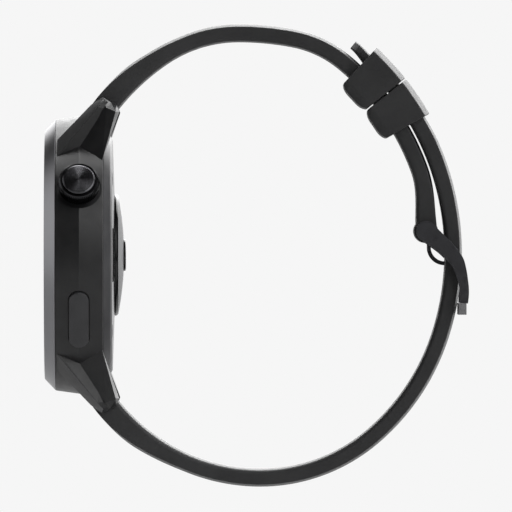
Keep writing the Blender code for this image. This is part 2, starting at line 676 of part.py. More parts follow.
def loft(name, sections, skin, cutter=False):
    """One body through a row of sections with equal numbers of points, capped at both ends."""
    bm = bmesh.new()
    loops = [[bm.verts.new(p) for p in section] for section in sections]
    count = len(loops[0])
    for a, b in zip(loops, loops[1:]):
        for k in range(count):
            j = (k + 1) % count
            bm.faces.new((a[k], a[j], b[j], b[k]))
    bm.faces.new(loops[0])
    bm.faces.new(loops[-1])
    return place(name, finish_mesh(name, bm), skin, cutter=cutter)


def strap_section(point, across, half, thickness, crown):
    """A section of strap: flat on the wrist's side, crowned outside. Across points away from the wrist."""
    edge, shoulder = point + across * thickness, point + across * (thickness + crown)
    nip = min(0.25, thickness / 4)
    low = point + across * nip
    rows = [
        (half - nip, point), (half, low), (half, edge), (half - 1.4, shoulder), (0.0, shoulder),
    ]
    right = [(x, p.y, -p.x) for x, p in rows]
    return right + [(-x, y, z) for x, y, z in reversed(right[:-1])]


def cylinder_across(name, centre, radius, half, steps=20, skin=None, cutter=False):
    """A round bar along X at a place in the side view."""
    outline = [polar(radius, 360 * k / steps) for k in range(steps)]
    outline = [(centre[0] + a, centre[1] + b) for a, b in outline]
    return outline_prism(name, outline, -half, half, skin, cutter=cutter, matrix=SIDE)


def lug_end(strap, end, word):
    """The round end about the spring bar, its bore, and the pocket for the release lever."""
    centre, tangent = bar_centre(end), heading(end * STRAP_HEADING)
    half = STRAP_LUG_WIDTH / 2
    boolean(strap, cylinder_across(f"bar_boss_{word}", centre, STRAP_LUG_T / 2, half, 28, cutter=True), "UNION")
    boolean(strap, cylinder_across(f"bar_bore_{word}", centre, BAR_R + 0.12, half + 1, cutter=True))
    inward = -left_of(tangent) * end
    along = tangent
    corners = [centre + inward * a + along * b for a, b in ((-0.2, -1.3), (4.0, -1.3), (4.0, 1.3), (-0.2, 1.3))]
    outline = [tuple(p) for p in corners]
    pocket = outline_prism(f"release_pocket_{word}", outline, 6.0, 9.2, cutter=True, matrix=SIDE)
    boolean(strap, pocket)


def make_upper_strap():
    line = upper_line()
    run = distances(line)
    total = run[-1]
    sections = []
    for (point, tangent), s in zip(line, run):
        across = left_of(tangent)
        near_pin = smooth((s - (total - PIN_FLARE)) / PIN_FLARE)
        shift = (PIN_SECTION_AT - UPPER_ARC_R) * near_pin
        thickness = lug_thickness(s) + (PIN_SECTION_T - STRAP_T) * near_pin
        crown = STRAP_CROWN * (1 - near_pin)
        sections.append(strap_section(point + across * shift, across, strap_half_width(s), thickness, crown))
    strap = loft("strap_upper", sections, SILICONE)
    lug_end(strap, 1, "upper")
    half = STRAP_WIDTH / 2
    boolean(strap, cylinder_across("pin_boss", PIN, PIN_BOSS_R, half, 28, cutter=True), "UNION")
    boolean(strap, cylinder_across("pin_bore", PIN, PIN_R + 0.1, half + 1, cutter=True))
    slot = TONGUE_W / 2 + 0.35
    x, y = PIN
    corners = [(x - 4, y - 4), (x + 4, y - 4), (x + 4, y + 2.3), (x - 4, y + 2.3)]
    boolean(strap, outline_prism("tongue_slot", corners, -slot, slot, cutter=True, matrix=SIDE))


def hole_degrees(index):
    return HOLE_FIRST + math.degrees(HOLE_PITCH / (TAIL_ARC_R + 1)) * index


def make_lower_strap():
    line = lower_line()
    run = distances(line)
    total = run[-1]
    tail = math.radians(TAIL_END - TAIL_TAPER_START) * TAIL_ARC_R
    sections = []
    for (point, tangent), s in zip(line, run):
        taper = max(0.0, (s - (total - tail)) / tail)
        thickness = lug_thickness(s) + (TAIL_T - STRAP_T) * taper ** 1.5
        crown = STRAP_CROWN * (1 - 0.7 * taper)
        half = strap_half_width(s)
        tip = max(0.0, (s - (total - 5.0)) / 5.0)
        half -= 4.0 * (1 - math.sqrt(max(0.0, 1 - tip * tip * 0.96)))
        sections.append(strap_section(point, -left_of(tangent), half, thickness, crown))
    strap = loft("strap_lower", sections, SILICONE)
    lug_end(strap, -1, "lower")
    for index in range(-HOLES_TO_LUG, HOLES_TO_TAIL + 1):
        degrees = hole_degrees(index)
        if degrees > LOWER_ARC_START + 2:
            centre, tangent = keeper_point(TAIL_ARC_R + 1, degrees), heading(degrees + 90)
        else:
            past = math.radians(LOWER_ARC_START - degrees) * (TAIL_ARC_R + 1)
            centre, tangent = point_before(line, run, LOWER_ARC_START, past)
        across = -left_of(tangent)
        frame = Matrix.Identity(4)
        frame.col[0].xyz = (1, 0, 0)
        frame.col[1].xyz = (0, tangent.y, -tangent.x)
        frame.col[2].xyz = (0, across.y, -across.x)
        frame.col[3].xyz = (0, centre.y, -centre.x)
        name = f"hole_{index + HOLES_TO_LUG + 1}"
        outline = pill_outline(HOLE_LENGTH, HOLE_WIDTH, steps=6)
        boolean(strap, outline_prism(name, outline, -3.5, 3.5, cutter=True, matrix=frame))


def point_before(line, run, degrees, past):
    """The point and direction on a line that lies a length before where it joins the keepers' arc."""
    joint = keeper_point(TAIL_ARC_R, degrees)
    at = min(range(len(line)), key=lambda k: (line[k][0] - joint).length)
    want = run[at] - past
    k = max(i for i in range(len(run)) if run[i] <= want)
    share = (want - run[k]) / (run[k + 1] - run[k])
    point = line[k][0].lerp(line[k + 1][0], share)
    return point, line[k][1].lerp(line[k + 1][1], share).normalized()


# ---- Keepers -------------------------------------------------------------------------------------
def keeper_sections(at, span, bulge, outline):
    """Sections of a fan about the keepers' centre. Bulge pushes the middle ones out on the wrist's side."""
    sections = []
    for k in range(KEEPER_STEPS + 1):
        offset = 2 * k / KEEPER_STEPS - 1
        push = bulge * (1 - offset * offset)
        section = []
        for x, r in outline + [(-x, r) for x, r in reversed(outline)]:
            p = keeper_point(r - push if r < TAIL_ARC_R else r, at + span * offset)
            section.append((x, p.y, -p.x))
        sections.append(section)
    return sections


def make_keeper(name, at):
    """A loop round both layers of strap."""
    low = UPPER_ARC_R - KEEPER_CLEAR
    high = TAIL_ARC_R + STRAP_T + STRAP_CROWN + KEEPER_CLEAR
    half = STRAP_WIDTH / 2 + KEEPER_CLEAR
    wall = KEEPER_WALL
    side = half + wall
    outer = [
        (side - 0.5, low - wall), (side, low - wall + 0.5), (side, high + 0.1), (half - 0.6, high + wall * 0.8),
    ]
    span = KEEPER_SPAN / 2
    keeper = loft(name, keeper_sections(at, span, KEEPER_BULGE, outer), SILICONE)
    inner = keeper_sections(at, span * 1.3, 0.0, [(half, low), (half, high)])
    boolean(keeper, loft(f"{name}_opening", inner, None, cutter=True))


# ---- Buckle --------------------------------------------------------------------------------------
def stroke(path, widths):
    """The outline of a band that follows a path, with its width at each point."""
    left, right = [], []
    for k, point in enumerate(path):
        before, after = path[max(0, k - 1)], path[min(len(path) - 1, k + 1)]
        across = left_of((after - before).normalized()) * (widths[k] / 2)
        left.append(tuple(point + across))
        right.append(tuple(point - across))
    return left + right[::-1]


def arc_about(centre, radius, first, last, count):
    return [Vector(centre) + Vector(polar(radius, first + (last - first) * k / count)) for k in range(count + 1)]


BAR_TOP = -7.6
BAR_END = -9.0
BAR_T = 1.2
BAR_CLEAR = 0.13  # between the end bar and the strap under it
BAR_REACH = 5.5  # of the bar's middle beyond the pin, on the arm's drawn path
ARM_EYE_R = 1.35
ARM_PATH = (
    (0.5, -0.2), (3.0, -2.6), (4.5, -4.3), (5.1, -5.6), (5.55, -7.4), (5.8, -9.2), (5.55, -11.2), (5.45, -12.6)
)
ARM_WIDTHS = (2.6, 2.4, 2.2, 1.85, 1.55, 1.35, 1.2, 1.1)
TONGUE_BEND = (2.88, -2.5)  # centre of the tongue's first bend, from the pin
TONGUE_BEND_R = 2.38
TONGUE_TIP_LEAN = 0.04  # of the tongue's tip outwards, past the end of its hook


def bar_inside():
    """How far out the end bar's inner face lies: on the tail's outer face, level with the bar's top."""
    outer = TAIL_ARC_R + STRAP_T + STRAP_CROWN
    drop = BAR_TOP - KEEPER_CENTRE[1]
    return KEEPER_CENTRE[0] + math.sqrt(outer ** 2 - drop ** 2) + BAR_CLEAR


def make_buckle():
    half = STRAP_WIDTH / 2 + ARM_GAP
    x_out = half + ARM_T
    pin = Vector(PIN)
    bar_in = bar_inside()
    bar_out = bar_in + BAR_T
    # Each arm leaves the pin's eye, crosses the strap's edge and bends down to the bar.
    stretch = (bar_in + BAR_T / 2 - pin.x) / BAR_REACH
    path = [pin + Vector((a * stretch, b)) for a, b in ARM_PATH]
    outline = stroke(path, ARM_WIDTHS)
    frame = outline_prism("buckle_frame", outline, half, x_out, COATED_METAL, matrix=SIDE)
    eye = [tuple(p) for p in arc_about(pin, ARM_EYE_R, 0, 345, 23)]
    boolean(frame, outline_prism("eye_right", eye, half, x_out, cutter=True, matrix=SIDE), "UNION")
    bar = [
        (bar_out, BAR_TOP), (bar_in, BAR_TOP), (bar_in, BAR_END + 0.2), (bar_in + 0.2, BAR_END),
        (bar_out - 0.2, BAR_END), (bar_out, BAR_END + 0.2),
    ]
    bar_half = x_out - 0.05
    boolean(frame, outline_prism("end_bar", bar, -bar_half, bar_half, cutter=True, matrix=SIDE), "UNION")
    boolean(frame, outline_prism("arm_left", outline, -x_out, -half, cutter=True, matrix=SIDE), "UNION")
    boolean(frame, outline_prism("eye_left", eye, -x_out, -half, cutter=True, matrix=SIDE), "UNION")
    boolean(frame, cylinder_across("eye_bore", PIN, PIN_R + 0.1, x_out + 1, cutter=True))
    notch_x = TONGUE_W / 2 + 0.2
    floor = bar_out - TONGUE_T
    notch = [(floor, BAR_TOP + 1), (bar_out + 1, BAR_TOP + 1), (bar_out + 1, BAR_END - 1), (floor, BAR_END - 1)]
    boolean(frame, outline_prism("tongue_notch", notch, -notch_x, notch_x, cutter=True, matrix=SIDE))
    cylinder_across("buckle_pin", PIN, PIN_R, x_out - 0.05, skin=BARE_STEEL)

    # The tongue drops from the pin, hooks through the strap's hole and lies on the bar.
    end_x = bar_out - TONGUE_T / 2 + 0.08
    bend = pin + Vector(TONGUE_BEND)
    hook_r = end_x - TONGUE_TIP_LEAN - bend.x
    low_bend = bend - Vector((0, TONGUE_BEND_R + hook_r))
    path = [Vector((bend.x - TONGUE_BEND_R, pin.y - 0.9))]
    path += arc_about(bend, TONGUE_BEND_R, 180, 270, 8)
    path += arc_about(low_bend, hook_r, 90, 0, 8)[1:]
    path.append(Vector((end_x, BAR_END + 0.4)))
    outline = stroke(path, [TONGUE_T] * len(path))
    half_t = TONGUE_W / 2
    tongue = outline_prism("buckle_tongue", outline, -half_t, half_t, COATED_METAL, matrix=SIDE)
    boolean(tongue, cylinder_across("tongue_eye", PIN, ARM_EYE_R, half_t, 24, cutter=True), "UNION")
    boolean(tongue, cylinder_across("tongue_bore", PIN, PIN_R + 0.1, half_t + 1, cutter=True))


# ---- Spring bars with a quick release ------------------------------------------------------------
def make_spring_bar(end, word):
    centre = bar_centre(end)
    tangent = heading(end * STRAP_HEADING)
    inward = -left_of(tangent) * end
    half = LUG_GAP / 2 - 0.2
    bar = cylinder_across(f"spring_bar_{word}", centre, BAR_R, half, skin=BARE_STEEL)
    reach = half + 0.2 + BAR_TIP_REACH
    outline = [tuple(centre + Vector(polar(BAR_TIP_R, 22.5 * k))) for k in range(16)]
    fixed = outline_prism(f"fixed_tip_{word}", outline, -reach, -half + 0.5, cutter=True, matrix=SIDE)
    boolean(bar, fixed, "UNION")
    bore = [tuple(centre + Vector(polar(BAR_TIP_R + 0.1, 22.5 * k))) for k in range(16)]
    boolean(bar, outline_prism(f"tip_bore_{word}", bore, 5.0, half + 1, cutter=True, matrix=SIDE))
    corners = ((0.0, -0.4), (2.0, -0.4), (2.0, 0.4), (0.0, 0.4))
    outline_of_slot = [tuple(centre + inward * a + tangent * b) for a, b in corners]
    boolean(bar, outline_prism(f"lever_slot_{word}", outline_of_slot, 6.3, 8.5, cutter=True, matrix=SIDE))
    tip = outline_prism(f"quick_release_{word}", outline, 6.5, reach, BARE_STEEL, matrix=SIDE)
    corners = ((0.0, -0.28), (1.62, -0.28), (1.62, 0.28), (0.0, 0.28))
    outline_of_lever = [tuple(centre + inward * a + tangent * b) for a, b in corners]
    lever = outline_prism(f"lever_{word}", outline_of_lever, 7.75, 8.35, cutter=True, matrix=SIDE)
    boolean(tip, lever, "UNION")


def main():
    make_mid_case()
    make_front()
    make_inside()
    make_back()
    make_crown()
    make_button()
    make_upper_strap()
    make_lower_strap()
    make_keeper("keeper_upper", KEEPER_UPPER_AT)
    make_keeper("keeper_lower", KEEPER_LOWER_AT)
    make_buckle()
    make_spring_bar(1, "upper")
    make_spring_bar(-1, "lower")


main()
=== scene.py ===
# %% [markdown]
# # A GPS running watch, finished
# The watch's working parts come in as one fixed frame. This script gives each visible part its finished shape
# and its finish, lights it like a product on a plain table, and points a long lens at its side. Everything is
# drawn in the watch frame, the way a watchmaker lays a watch down: X to 3 o'clock, Y to 12 o'clock, Z up
# through the display, in millimetres. One matrix stands the finished mesh up in the frame's own axes.

# %% Load the frame
import json
import math

import bmesh
import bpy
from mathutils import Matrix, Vector


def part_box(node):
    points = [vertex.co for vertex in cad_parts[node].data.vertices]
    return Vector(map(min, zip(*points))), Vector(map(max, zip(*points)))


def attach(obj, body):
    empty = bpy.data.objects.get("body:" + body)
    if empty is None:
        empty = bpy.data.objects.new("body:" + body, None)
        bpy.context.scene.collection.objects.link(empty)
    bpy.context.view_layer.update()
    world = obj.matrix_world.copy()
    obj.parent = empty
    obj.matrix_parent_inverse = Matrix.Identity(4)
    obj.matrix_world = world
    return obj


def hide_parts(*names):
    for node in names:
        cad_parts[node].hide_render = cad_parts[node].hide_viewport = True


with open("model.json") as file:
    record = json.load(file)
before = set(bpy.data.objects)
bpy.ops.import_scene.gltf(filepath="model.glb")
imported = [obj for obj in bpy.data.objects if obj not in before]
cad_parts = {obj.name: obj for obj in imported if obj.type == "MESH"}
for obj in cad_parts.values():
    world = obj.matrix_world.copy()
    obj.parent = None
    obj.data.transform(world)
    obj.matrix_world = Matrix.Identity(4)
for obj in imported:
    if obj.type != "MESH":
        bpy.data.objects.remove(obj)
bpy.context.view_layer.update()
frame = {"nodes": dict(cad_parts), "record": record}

MM = 0.001
STAND_UP = Matrix(((MM, 0, 0, 0), (0, 0, -MM, 0), (0, MM, 0, 0), (0, 0, 0, 1)))
LAY_DOWN = STAND_UP.inverted()


def laid(node):
    """A node's lowest and highest corners in the watch frame, in millimetres."""
    corners = [LAY_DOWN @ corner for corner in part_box(node)]
    return [Vector(map(pick, *corners)) for pick in (min, max)]


# %% [markdown]
# ## Where things are
# Sizes that another part depends on are measured on the frame. The rest are the maker's own numbers for this
# watch, such as the ridge's height and the radius of each edge.

# %% Measure the frame
case_high = laid("mid_case")[1]
bezel_high = laid("bezel")[1]
glass_low, glass_high = laid("display_glass")
panel_high = laid("display_panel")[1]

CASE_R = case_high.x
CASE_EDGE_R = bezel_high.x
CASE_BORE_R = 18.6
BACK_Z = 3.4
RIDGE_Z = 7.0
FRONT_Z = 10.6
TOP_Z = bezel_high.z
GLASS_R = glass_high.x
ROUND_STEPS = 240
print(f"case {2 * CASE_R:.1f} mm across, front at {TOP_Z:.1f} mm")

# %% [markdown]
# ## Colours
# Paint and plastic colours are written as the hex values that a colour picker shows. Blender mixes light in
# linear values, so one function turns each hex value into linear red, green and blue.

# %% Colours and nodes
def linear(hex_colour):
    channels = [int(hex_colour[k:k + 2], 16) / 255 for k in (1, 3, 5)]
    return (*[c / 12.92 if c <= 0.04045 else ((c + 0.055) / 1.055) ** 2.4 for c in channels], 1.0)


def add_node(tree, kind, inputs=None, **settings):
    """Adds a node. An input given as a socket is linked, and any other value is set on the input."""
    made = tree.nodes.new(kind)
    for name, value in settings.items():
        setattr(made, name, value)
    for name, value in (inputs or {}).items():
        if isinstance(value, bpy.types.NodeSocket):
            tree.links.new(value, made.inputs[name])
        else:
            made.inputs[name].default_value = value
    return made


def new_finish(name, colour, roughness, **shader_values):
    """A material with one Principled shader, and the tree and shader to build on."""
    finish = bpy.data.materials.new(name)
    finish.use_nodes = True
    tree = finish.node_tree
    shader = tree.nodes["Principled BSDF"]
    shader.inputs["Base Color"].default_value = linear(colour)
    shader.inputs["Roughness"].default_value = roughness
    for socket, value in shader_values.items():
        shader.inputs[socket.replace("_", " ")].default_value = value
    return finish, tree, shader


print(f"mid grey #808080 is {linear('#808080')[0]:.3f} in linear light")

# %% [markdown]
# ## Patterns by real size
# No real surface is one flat value. Three helpers add fine bumps, a gloss that drifts and a colour that
# drifts. Each takes the size of its pattern in millimetres, so a grain can be set from what the real material
# has.

# %% Patterns by real size
def per_mm(size):
    """The texture scale for features of a size in millimetres, as Object coordinates are in metres."""
    return 1000 / size


def bumped(tree, shader, noise, depth):
    """Lets a noise raise the surface by a depth in millimetres."""
    bump = add_node(
        tree, "ShaderNodeBump", {"Height": noise.outputs["Fac"], "Distance": depth * MM, "Strength": 1.0}
    )
    tree.links.new(bump.outputs["Normal"], shader.inputs["Normal"])


def grain(tree, shader, size, depth, detail=4.0):
    """Fine bumps of a size and depth in millimetres."""
    place = add_node(tree, "ShaderNodeTexCoord")
    noise = add_node(
        tree, "ShaderNodeTexNoise", {"Vector": place.outputs["Object"], "Scale": per_mm(size), "Detail": detail}
    )
    bumped(tree, shader, noise, depth)


def mottled(tree, shader, socket, low, high, size, detail=2.0):
    """A number that drifts between two values over patches of a size in millimetres."""
    place = add_node(tree, "ShaderNodeTexCoord")
    noise = add_node(
        tree, "ShaderNodeTexNoise", {"Vector": place.outputs["Object"], "Scale": per_mm(size), "Detail": detail}
    )
    spread = add_node(
        tree, "ShaderNodeMapRange",
        {"Value": noise.outputs["Fac"], "From Min": 0.3, "From Max": 0.7, "To Min": low, "To Max": high},
    )
    tree.links.new(spread.outputs["Result"], shader.inputs[socket])


def tinted(tree, shader, first, second, size, detail=3.0):
    """A base colour that drifts between two close colours over patches of a size in millimetres."""
    place = add_node(tree, "ShaderNodeTexCoord")
    noise = add_node(
        tree, "ShaderNodeTexNoise", {"Vector": place.outputs["Object"], "Scale": per_mm(size), "Detail": detail}
    )
    ramp = add_node(tree, "ShaderNodeValToRGB", {"Fac": noise.outputs["Fac"]})
    ramp.color_ramp.elements[0].position = 0.35
    ramp.color_ramp.elements[0].color = linear(first)
    ramp.color_ramp.elements[1].position = 0.65
    ramp.color_ramp.elements[1].color = linear(second)
    tree.links.new(ramp.outputs["Color"], shader.inputs["Base Color"])


print(f"a grain of 0.25 mm needs a texture scale of {per_mm(0.25):.0f}")

# %% [markdown]
# ## Moulded polymer
# The case is glass-filled nylon, moulded in a tool with a spark-eroded surface. That gives the eye a soft
# black with a very fine even grain, and a dull sheen that is a little uneven where the fibres come near the
# surface. The real grain is under 0.1 mm, so it is drawn at 0.25 mm to show at all. The back cover is smoother,
# and its paler base colour is a painted reflection of the light its gloss catches. The button is rubbed
# smoother and a little paler by fingers.

# %% Moulded polymer
def moulded_nylon(name, dark, light, low_rough, high_rough):
    finish, tree, shader = new_finish(name, dark, low_rough)
    tinted(tree, shader, dark, light, 3.0)
    mottled(tree, shader, "Roughness", low_rough, high_rough, 1.2)
    grain(tree, shader, 0.25, 0.006)
    return finish


NYLON = moulded_nylon("moulded nylon", "#202021", "#262627", 0.34, 0.42)
# The cover's paler base colour is a painted reflection, standing in for light on its glossy face.
COVER_NYLON = moulded_nylon("polished nylon", "#464648", "#4e4e50", 0.3, 0.36)
BUTTON_NYLON = moulded_nylon("moulded nylon, rubbed", "#343436", "#3a3a3c", 0.3, 0.36)
print("made", NYLON.name, COVER_NYLON.name, BUTTON_NYLON.name)

# %% [markdown]
# ## Coated metal
# Bezel, crown and buckle are steel, turned or blasted and then vapour-coated dark grey. The coat is metallic
# and thin, so what the tool left shows through it. A lathe leaves rings round the part's axis, and blasting
# leaves an even satin. Real tool lines are about 0.05 mm apart; they are drawn at 0.2 mm on the bezel to
# show.

# %% Coated metal
def ringed_noise(tree, axis_place, spacing):
    """Noise that changes with the distance from an axis and hardly round it, as a lathe tool leaves it."""
    origin, turn, _ = axis_place.decompose()
    back = turn.inverted()
    place = add_node(tree, "ShaderNodeTexCoord")
    lay = add_node(
        tree, "ShaderNodeMapping",
        {"Vector": place.outputs["Object"], "Location": -(back @ origin), "Rotation": back.to_euler()},
    )
    flat = add_node(
        tree, "ShaderNodeVectorMath", {0: lay.outputs["Vector"], 1: (1.0, 1.0, 0.0)}, operation="MULTIPLY"
    )
    reach = add_node(tree, "ShaderNodeVectorMath", {0: flat.outputs["Vector"]}, operation="LENGTH")
    split = add_node(tree, "ShaderNodeSeparateXYZ", {"Vector": lay.outputs["Vector"]})
    line = add_node(tree, "ShaderNodeCombineXYZ", {"X": reach.outputs["Value"], "Y": split.outputs["Z"]})
    return add_node(
        tree, "ShaderNodeTexNoise", {"Vector": line.outputs["Vector"], "Scale": per_mm(spacing), "Detail": 3.0}
    )


def turned_metal(name, colour, roughness, axis_place, spacing, depth):
    """Metal with tool rings round an axis, at a spacing and depth in millimetres."""
    finish, tree, shader = new_finish(name, colour, roughness, Metallic=1.0)
    noise = ringed_noise(tree, axis_place, spacing)
    bumped(tree, shader, noise, depth)
    spread = add_node(
        tree, "ShaderNodeMapRange",
        {"Value": noise.outputs["Fac"], "To Min": roughness * 0.85, "To Max": roughness * 1.2},
    )
    tree.links.new(spread.outputs["Result"], shader.inputs["Roughness"])
    return finish, tree, shader


def satin_metal(name, colour, roughness, size=0.3):
    """Metal with an even blasted grain of a size in millimetres."""
    finish, tree, shader = new_finish(name, colour, roughness, Metallic=1.0)
    mottled(tree, shader, "Roughness", roughness * 0.92, roughness * 1.1, 0.8)
    grain(tree, shader, size, 0.003)
    return finish


BEZEL_METAL = turned_metal("vapour-coated steel, turned", "#8a8a8d", 0.3, STAND_UP, 0.2, 0.004)[0]
CROWN_METAL = satin_metal("vapour-coated steel, bead-blasted", "#3c3c3e", 0.24)
BUCKLE_METAL = satin_metal("vapour-coated steel, satin", "#58585b", 0.4)
# A paler, duller metal for the buckle bar's end faces: a painted highlight, not a real change of finish.
END_HIGHLIGHT_METAL = satin_metal("vapour-coated steel, painted end highlight", "#9a9a9c", 0.5)
STEEL = satin_metal("stainless steel, drawn", "#b4b4b6", 0.25)
print("made", ", ".join(metal.name for metal in (BEZEL_METAL, CROWN_METAL, BUCKLE_METAL, END_HIGHLIGHT_METAL, STEEL)))

# %% [markdown]
# ## Silicone
# The strap is moulded silicone rubber. It has almost no gloss, a slight bloom of dust and moulding powder
# that lightens it at a grazing angle, and a fine matte texture from the blasted tool.

# %% Silicone
def silicone(name, dark, light):
    finish, tree, shader = new_finish(name, dark, 0.6, Sheen_Weight=0.12, Sheen_Roughness=0.5)
    tinted(tree, shader, dark, light, 5.0)
    mottled(tree, shader, "Roughness", 0.52, 0.64, 1.5)
    grain(tree, shader, 0.3, 0.008)
    return finish


SILICONE = silicone("matte silicone", "#29292a", "#303031")
print("made", SILICONE.name)

# %% [markdown]
# ## Glass, gloss and gold
# The front glass is clear and polished. The sensor sits behind a grey optical resin with a dull inside, which
# scatters light like thin milk glass. Its ring and lens are polished black. Charging pins are gold-plated.

# %% Glass, gloss and gold
def clear_glass():
    return new_finish("polished mineral glass", "#ffffff", 0.02, IOR=1.5, Transmission_Weight=1.0)[0]


def optical_resin():
    finish, tree, shader = new_finish(
        "grey optical resin", "#3e3f42", 0.5, IOR=1.45, Coat_Weight=0.15, Coat_Roughness=0.05
    )
    tinted(tree, shader, "#3a3b3e", "#434447", 2.5)
    grain(tree, shader, 0.4, 0.002)
    return finish


def black_gloss(name, colour, roughness):
    finish, tree, shader = new_finish(name, colour, roughness, IOR=1.5)
    mottled(tree, shader, "Roughness", roughness, roughness * 2, 2.0)
    grain(tree, shader, 1.5, 0.002)
    return finish


def gold_plate():
    finish, tree, shader = new_finish("gold plate", "#d8b060", 0.2, Metallic=1.0)
    mottled(tree, shader, "Roughness", 0.15, 0.3, 0.5)
    return finish


GLASS = clear_glass()
RESIN = optical_resin()
GLOSS = black_gloss("polished black resin", "#0c0c0d", 0.08)
GOLD = gold_plate()
print("made", GLASS.name, RESIN.name, GLOSS.name, GOLD.name)

# %% [markdown]
# ## From a bmesh to a finished piece
# Each piece is shaped in a bmesh in the watch frame. This helper merges its doubles, turns its faces
# outwards, marks sharp edges by angle so that the rest shade smoothly, stands the mesh up and weighs its
# normals by the size of each face, so that flat faces look flat right up to their rounded edges.

# %% Helpers for pieces
def tidy(bm, recalc=True):
    bmesh.ops.remove_doubles(bm, verts=bm.verts, dist=1e-4)
    if recalc:
        bmesh.ops.recalc_face_normals(bm, faces=bm.faces)
    return bm


def mark_sharp(bm, degrees=32):
    for face in bm.faces:
        face.smooth = True
    for edge in bm.edges:
        sharp = len(edge.link_faces) != 2 or edge.calc_face_angle(0.0) > math.radians(degrees)
        edge.smooth = not sharp


def weigh_normals(made):
    """Lets each large face keep its own direction, so that a small rounding beside it doesn't shade it."""
    weighted = made.modifiers.new("weigh", "WEIGHTED_NORMAL")
    weighted.keep_sharp = True
    graph = bpy.context.evaluated_depsgraph_get()
    old = made.data
    made.data = bpy.data.meshes.new_from_object(made.evaluated_get(graph))
    made.modifiers.clear()
    bpy.data.meshes.remove(old)


def finished(name, bm, finish, body, stands_for=(), degrees=32, recalc=True):
    tidy(bm, recalc)
    mark_sharp(bm, degrees)
    bm.transform(STAND_UP)
    mesh = bpy.data.meshes.new(name)
    bm.to_mesh(mesh)
    bm.free()
    mesh.materials.append(finish)
    made = bpy.data.objects.new(name, mesh)
    bpy.context.scene.collection.objects.link(made)
    weigh_normals(made)
    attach(made, body)
    if stands_for:
        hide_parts(*stands_for)
    print(f"{name}: {len(made.data.polygons)} faces on {body}")
    return made


# %% [markdown]
# ## Turned shapes
# Bezel, case, cover and crown are all turned on a lathe on the real watch. A half outline is drawn as a chain
# of edges, its corners are rounded with a vertex bevel, and a full spin about Z makes the solid of it.

# %% Turned shapes
def wire(points, closed):
    """A chain of edges in the XZ plane, the half outline of a turned piece."""
    bm = bmesh.new()
    verts = [bm.verts.new((r, 0.0, z)) for r, z in points]
    pairs = list(zip(verts, verts[1:]))
    if closed:
        pairs.append((verts[-1], verts[0]))
    for a, b in pairs:
        bm.edges.new((a, b))
    return bm


def spun(points, rounding=0.12, steps=ROUND_STEPS, closed=True, segments=3):
    """Turns a half outline about Z, after rounding its corners."""
    bm = wire(points, closed)
    corners = [v for v in bm.verts if v.co.x > 1e-6 and len(v.link_edges) == 2]
    if rounding:
        bmesh.ops.bevel(
            bm, geom=corners, offset=rounding, affect="VERTICES", segments=segments, profile=0.5, material=-1
        )
    bmesh.ops.spin(
        bm, geom=list(bm.verts) + list(bm.edges), cent=(0, 0, 0), axis=(0, 0, 1), angle=math.tau, steps=steps,
        use_merge=True,
    )
    return tidy(bm)


# %% [markdown]
# ## Cutting and joining
# Pockets, bores and slots cross curved walls, and those crossings are hard to model by hand. The Boolean
# modifier finds them exactly, so each cut is an object that lives only until the modifier's result is taken.

# %% Cutting and joining
def as_object(bm, name="tool"):
    mesh = bpy.data.meshes.new(name)
    bm.to_mesh(mesh)
    bm.free()
    made = bpy.data.objects.new(name, mesh)
    bpy.context.scene.collection.objects.link(made)
    return made


def combined(base, tools, operation):
    """The bmesh after every tool, another bmesh, is cut from it or joined to it."""
    target = as_object(base, "base")
    made = [as_object(tool) for tool in tools]
    for tool in made:
        modifier = target.modifiers.new("combine", "BOOLEAN")
        modifier.operation = operation
        modifier.solver = "EXACT"
        modifier.object = tool
    graph = bpy.context.evaluated_depsgraph_get()
    result = bmesh.new()
    result.from_mesh(bpy.data.meshes.new_from_object(target.evaluated_get(graph)))
    for used in [target, *made]:
        bpy.data.objects.remove(used)
    return result


# %% [markdown]
# ## Blanks to cut with
# Rods, blocks and pills are the maker's drills and end mills. Each is made about Z, where it is easy to draw,
# and one matrix then swings it to its place.

# %% Blanks to cut with
def radial(degrees):
    """Turns and lifts a shape drawn about Z so that Z runs outwards at that angle from 3 o'clock."""
    turn = Matrix.Rotation(math.radians(degrees), 4, "Z") @ Matrix.Rotation(math.pi / 2, 4, "Y")
    return Matrix.Translation((0, 0, RIDGE_Z)) @ turn


def moved(bm, matrix):
    bm.transform(matrix)
    return bm


def rod(radius, low, high, steps=48):
    bm = bmesh.new()
    middle = Matrix.Translation((0, 0, (low + high) / 2))
    bmesh.ops.create_cone(
        bm, cap_ends=True, segments=steps, radius1=radius, radius2=radius, depth=high - low, matrix=middle
    )
    return bm


def block(size, centre):
    bm = bmesh.new()
    bmesh.ops.create_cube(bm, size=1.0, matrix=Matrix.Translation(centre) @ Matrix.Diagonal((*size, 1.0)))
    return bm


def polar(radius, degrees):
    a = math.radians(degrees)
    return radius * math.cos(a), radius * math.sin(a)


def pill(length, width, low, high, steps=14):
    """A stadium, long along Y, pushed from low to high."""
    r, half = width / 2, (length - width) / 2
    bm = bmesh.new()
    corners = []
    for end, start in ((1, 0.0), (-1, 180.0)):
        for k in range(steps + 1):
            x, y = polar(r, start + 180.0 * k / steps)
            corners.append(bm.verts.new((x, end * half + y, low)))
    face = bm.faces.new(corners)
    return pushed(bm, face, (0, 0, high - low))


def pushed(bm, face, by):
    """Extrudes a face along a vector and returns the closed solid."""
    made = bmesh.ops.extrude_face_region(bm, geom=[face])
    bmesh.ops.translate(bm, verts=[v for v in made["geom"] if isinstance(v, bmesh.types.BMVert)], vec=by)
    bmesh.ops.recalc_face_normals(bm, faces=bm.faces)
    return bm


def rounded(bm, radius, segments=3, degrees=30):
    """Bevels every edge that is sharper than an angle."""
    tidy(bm)
    sharp = [e for e in bm.edges if len(e.link_faces) == 2 and e.calc_face_angle(0.0) > math.radians(degrees)]
    bmesh.ops.bevel(
        bm, geom=sharp, offset=radius, affect="EDGES", segments=segments, profile=0.5, material=-1,
        clamp_overlap=True,
    )
    return bm


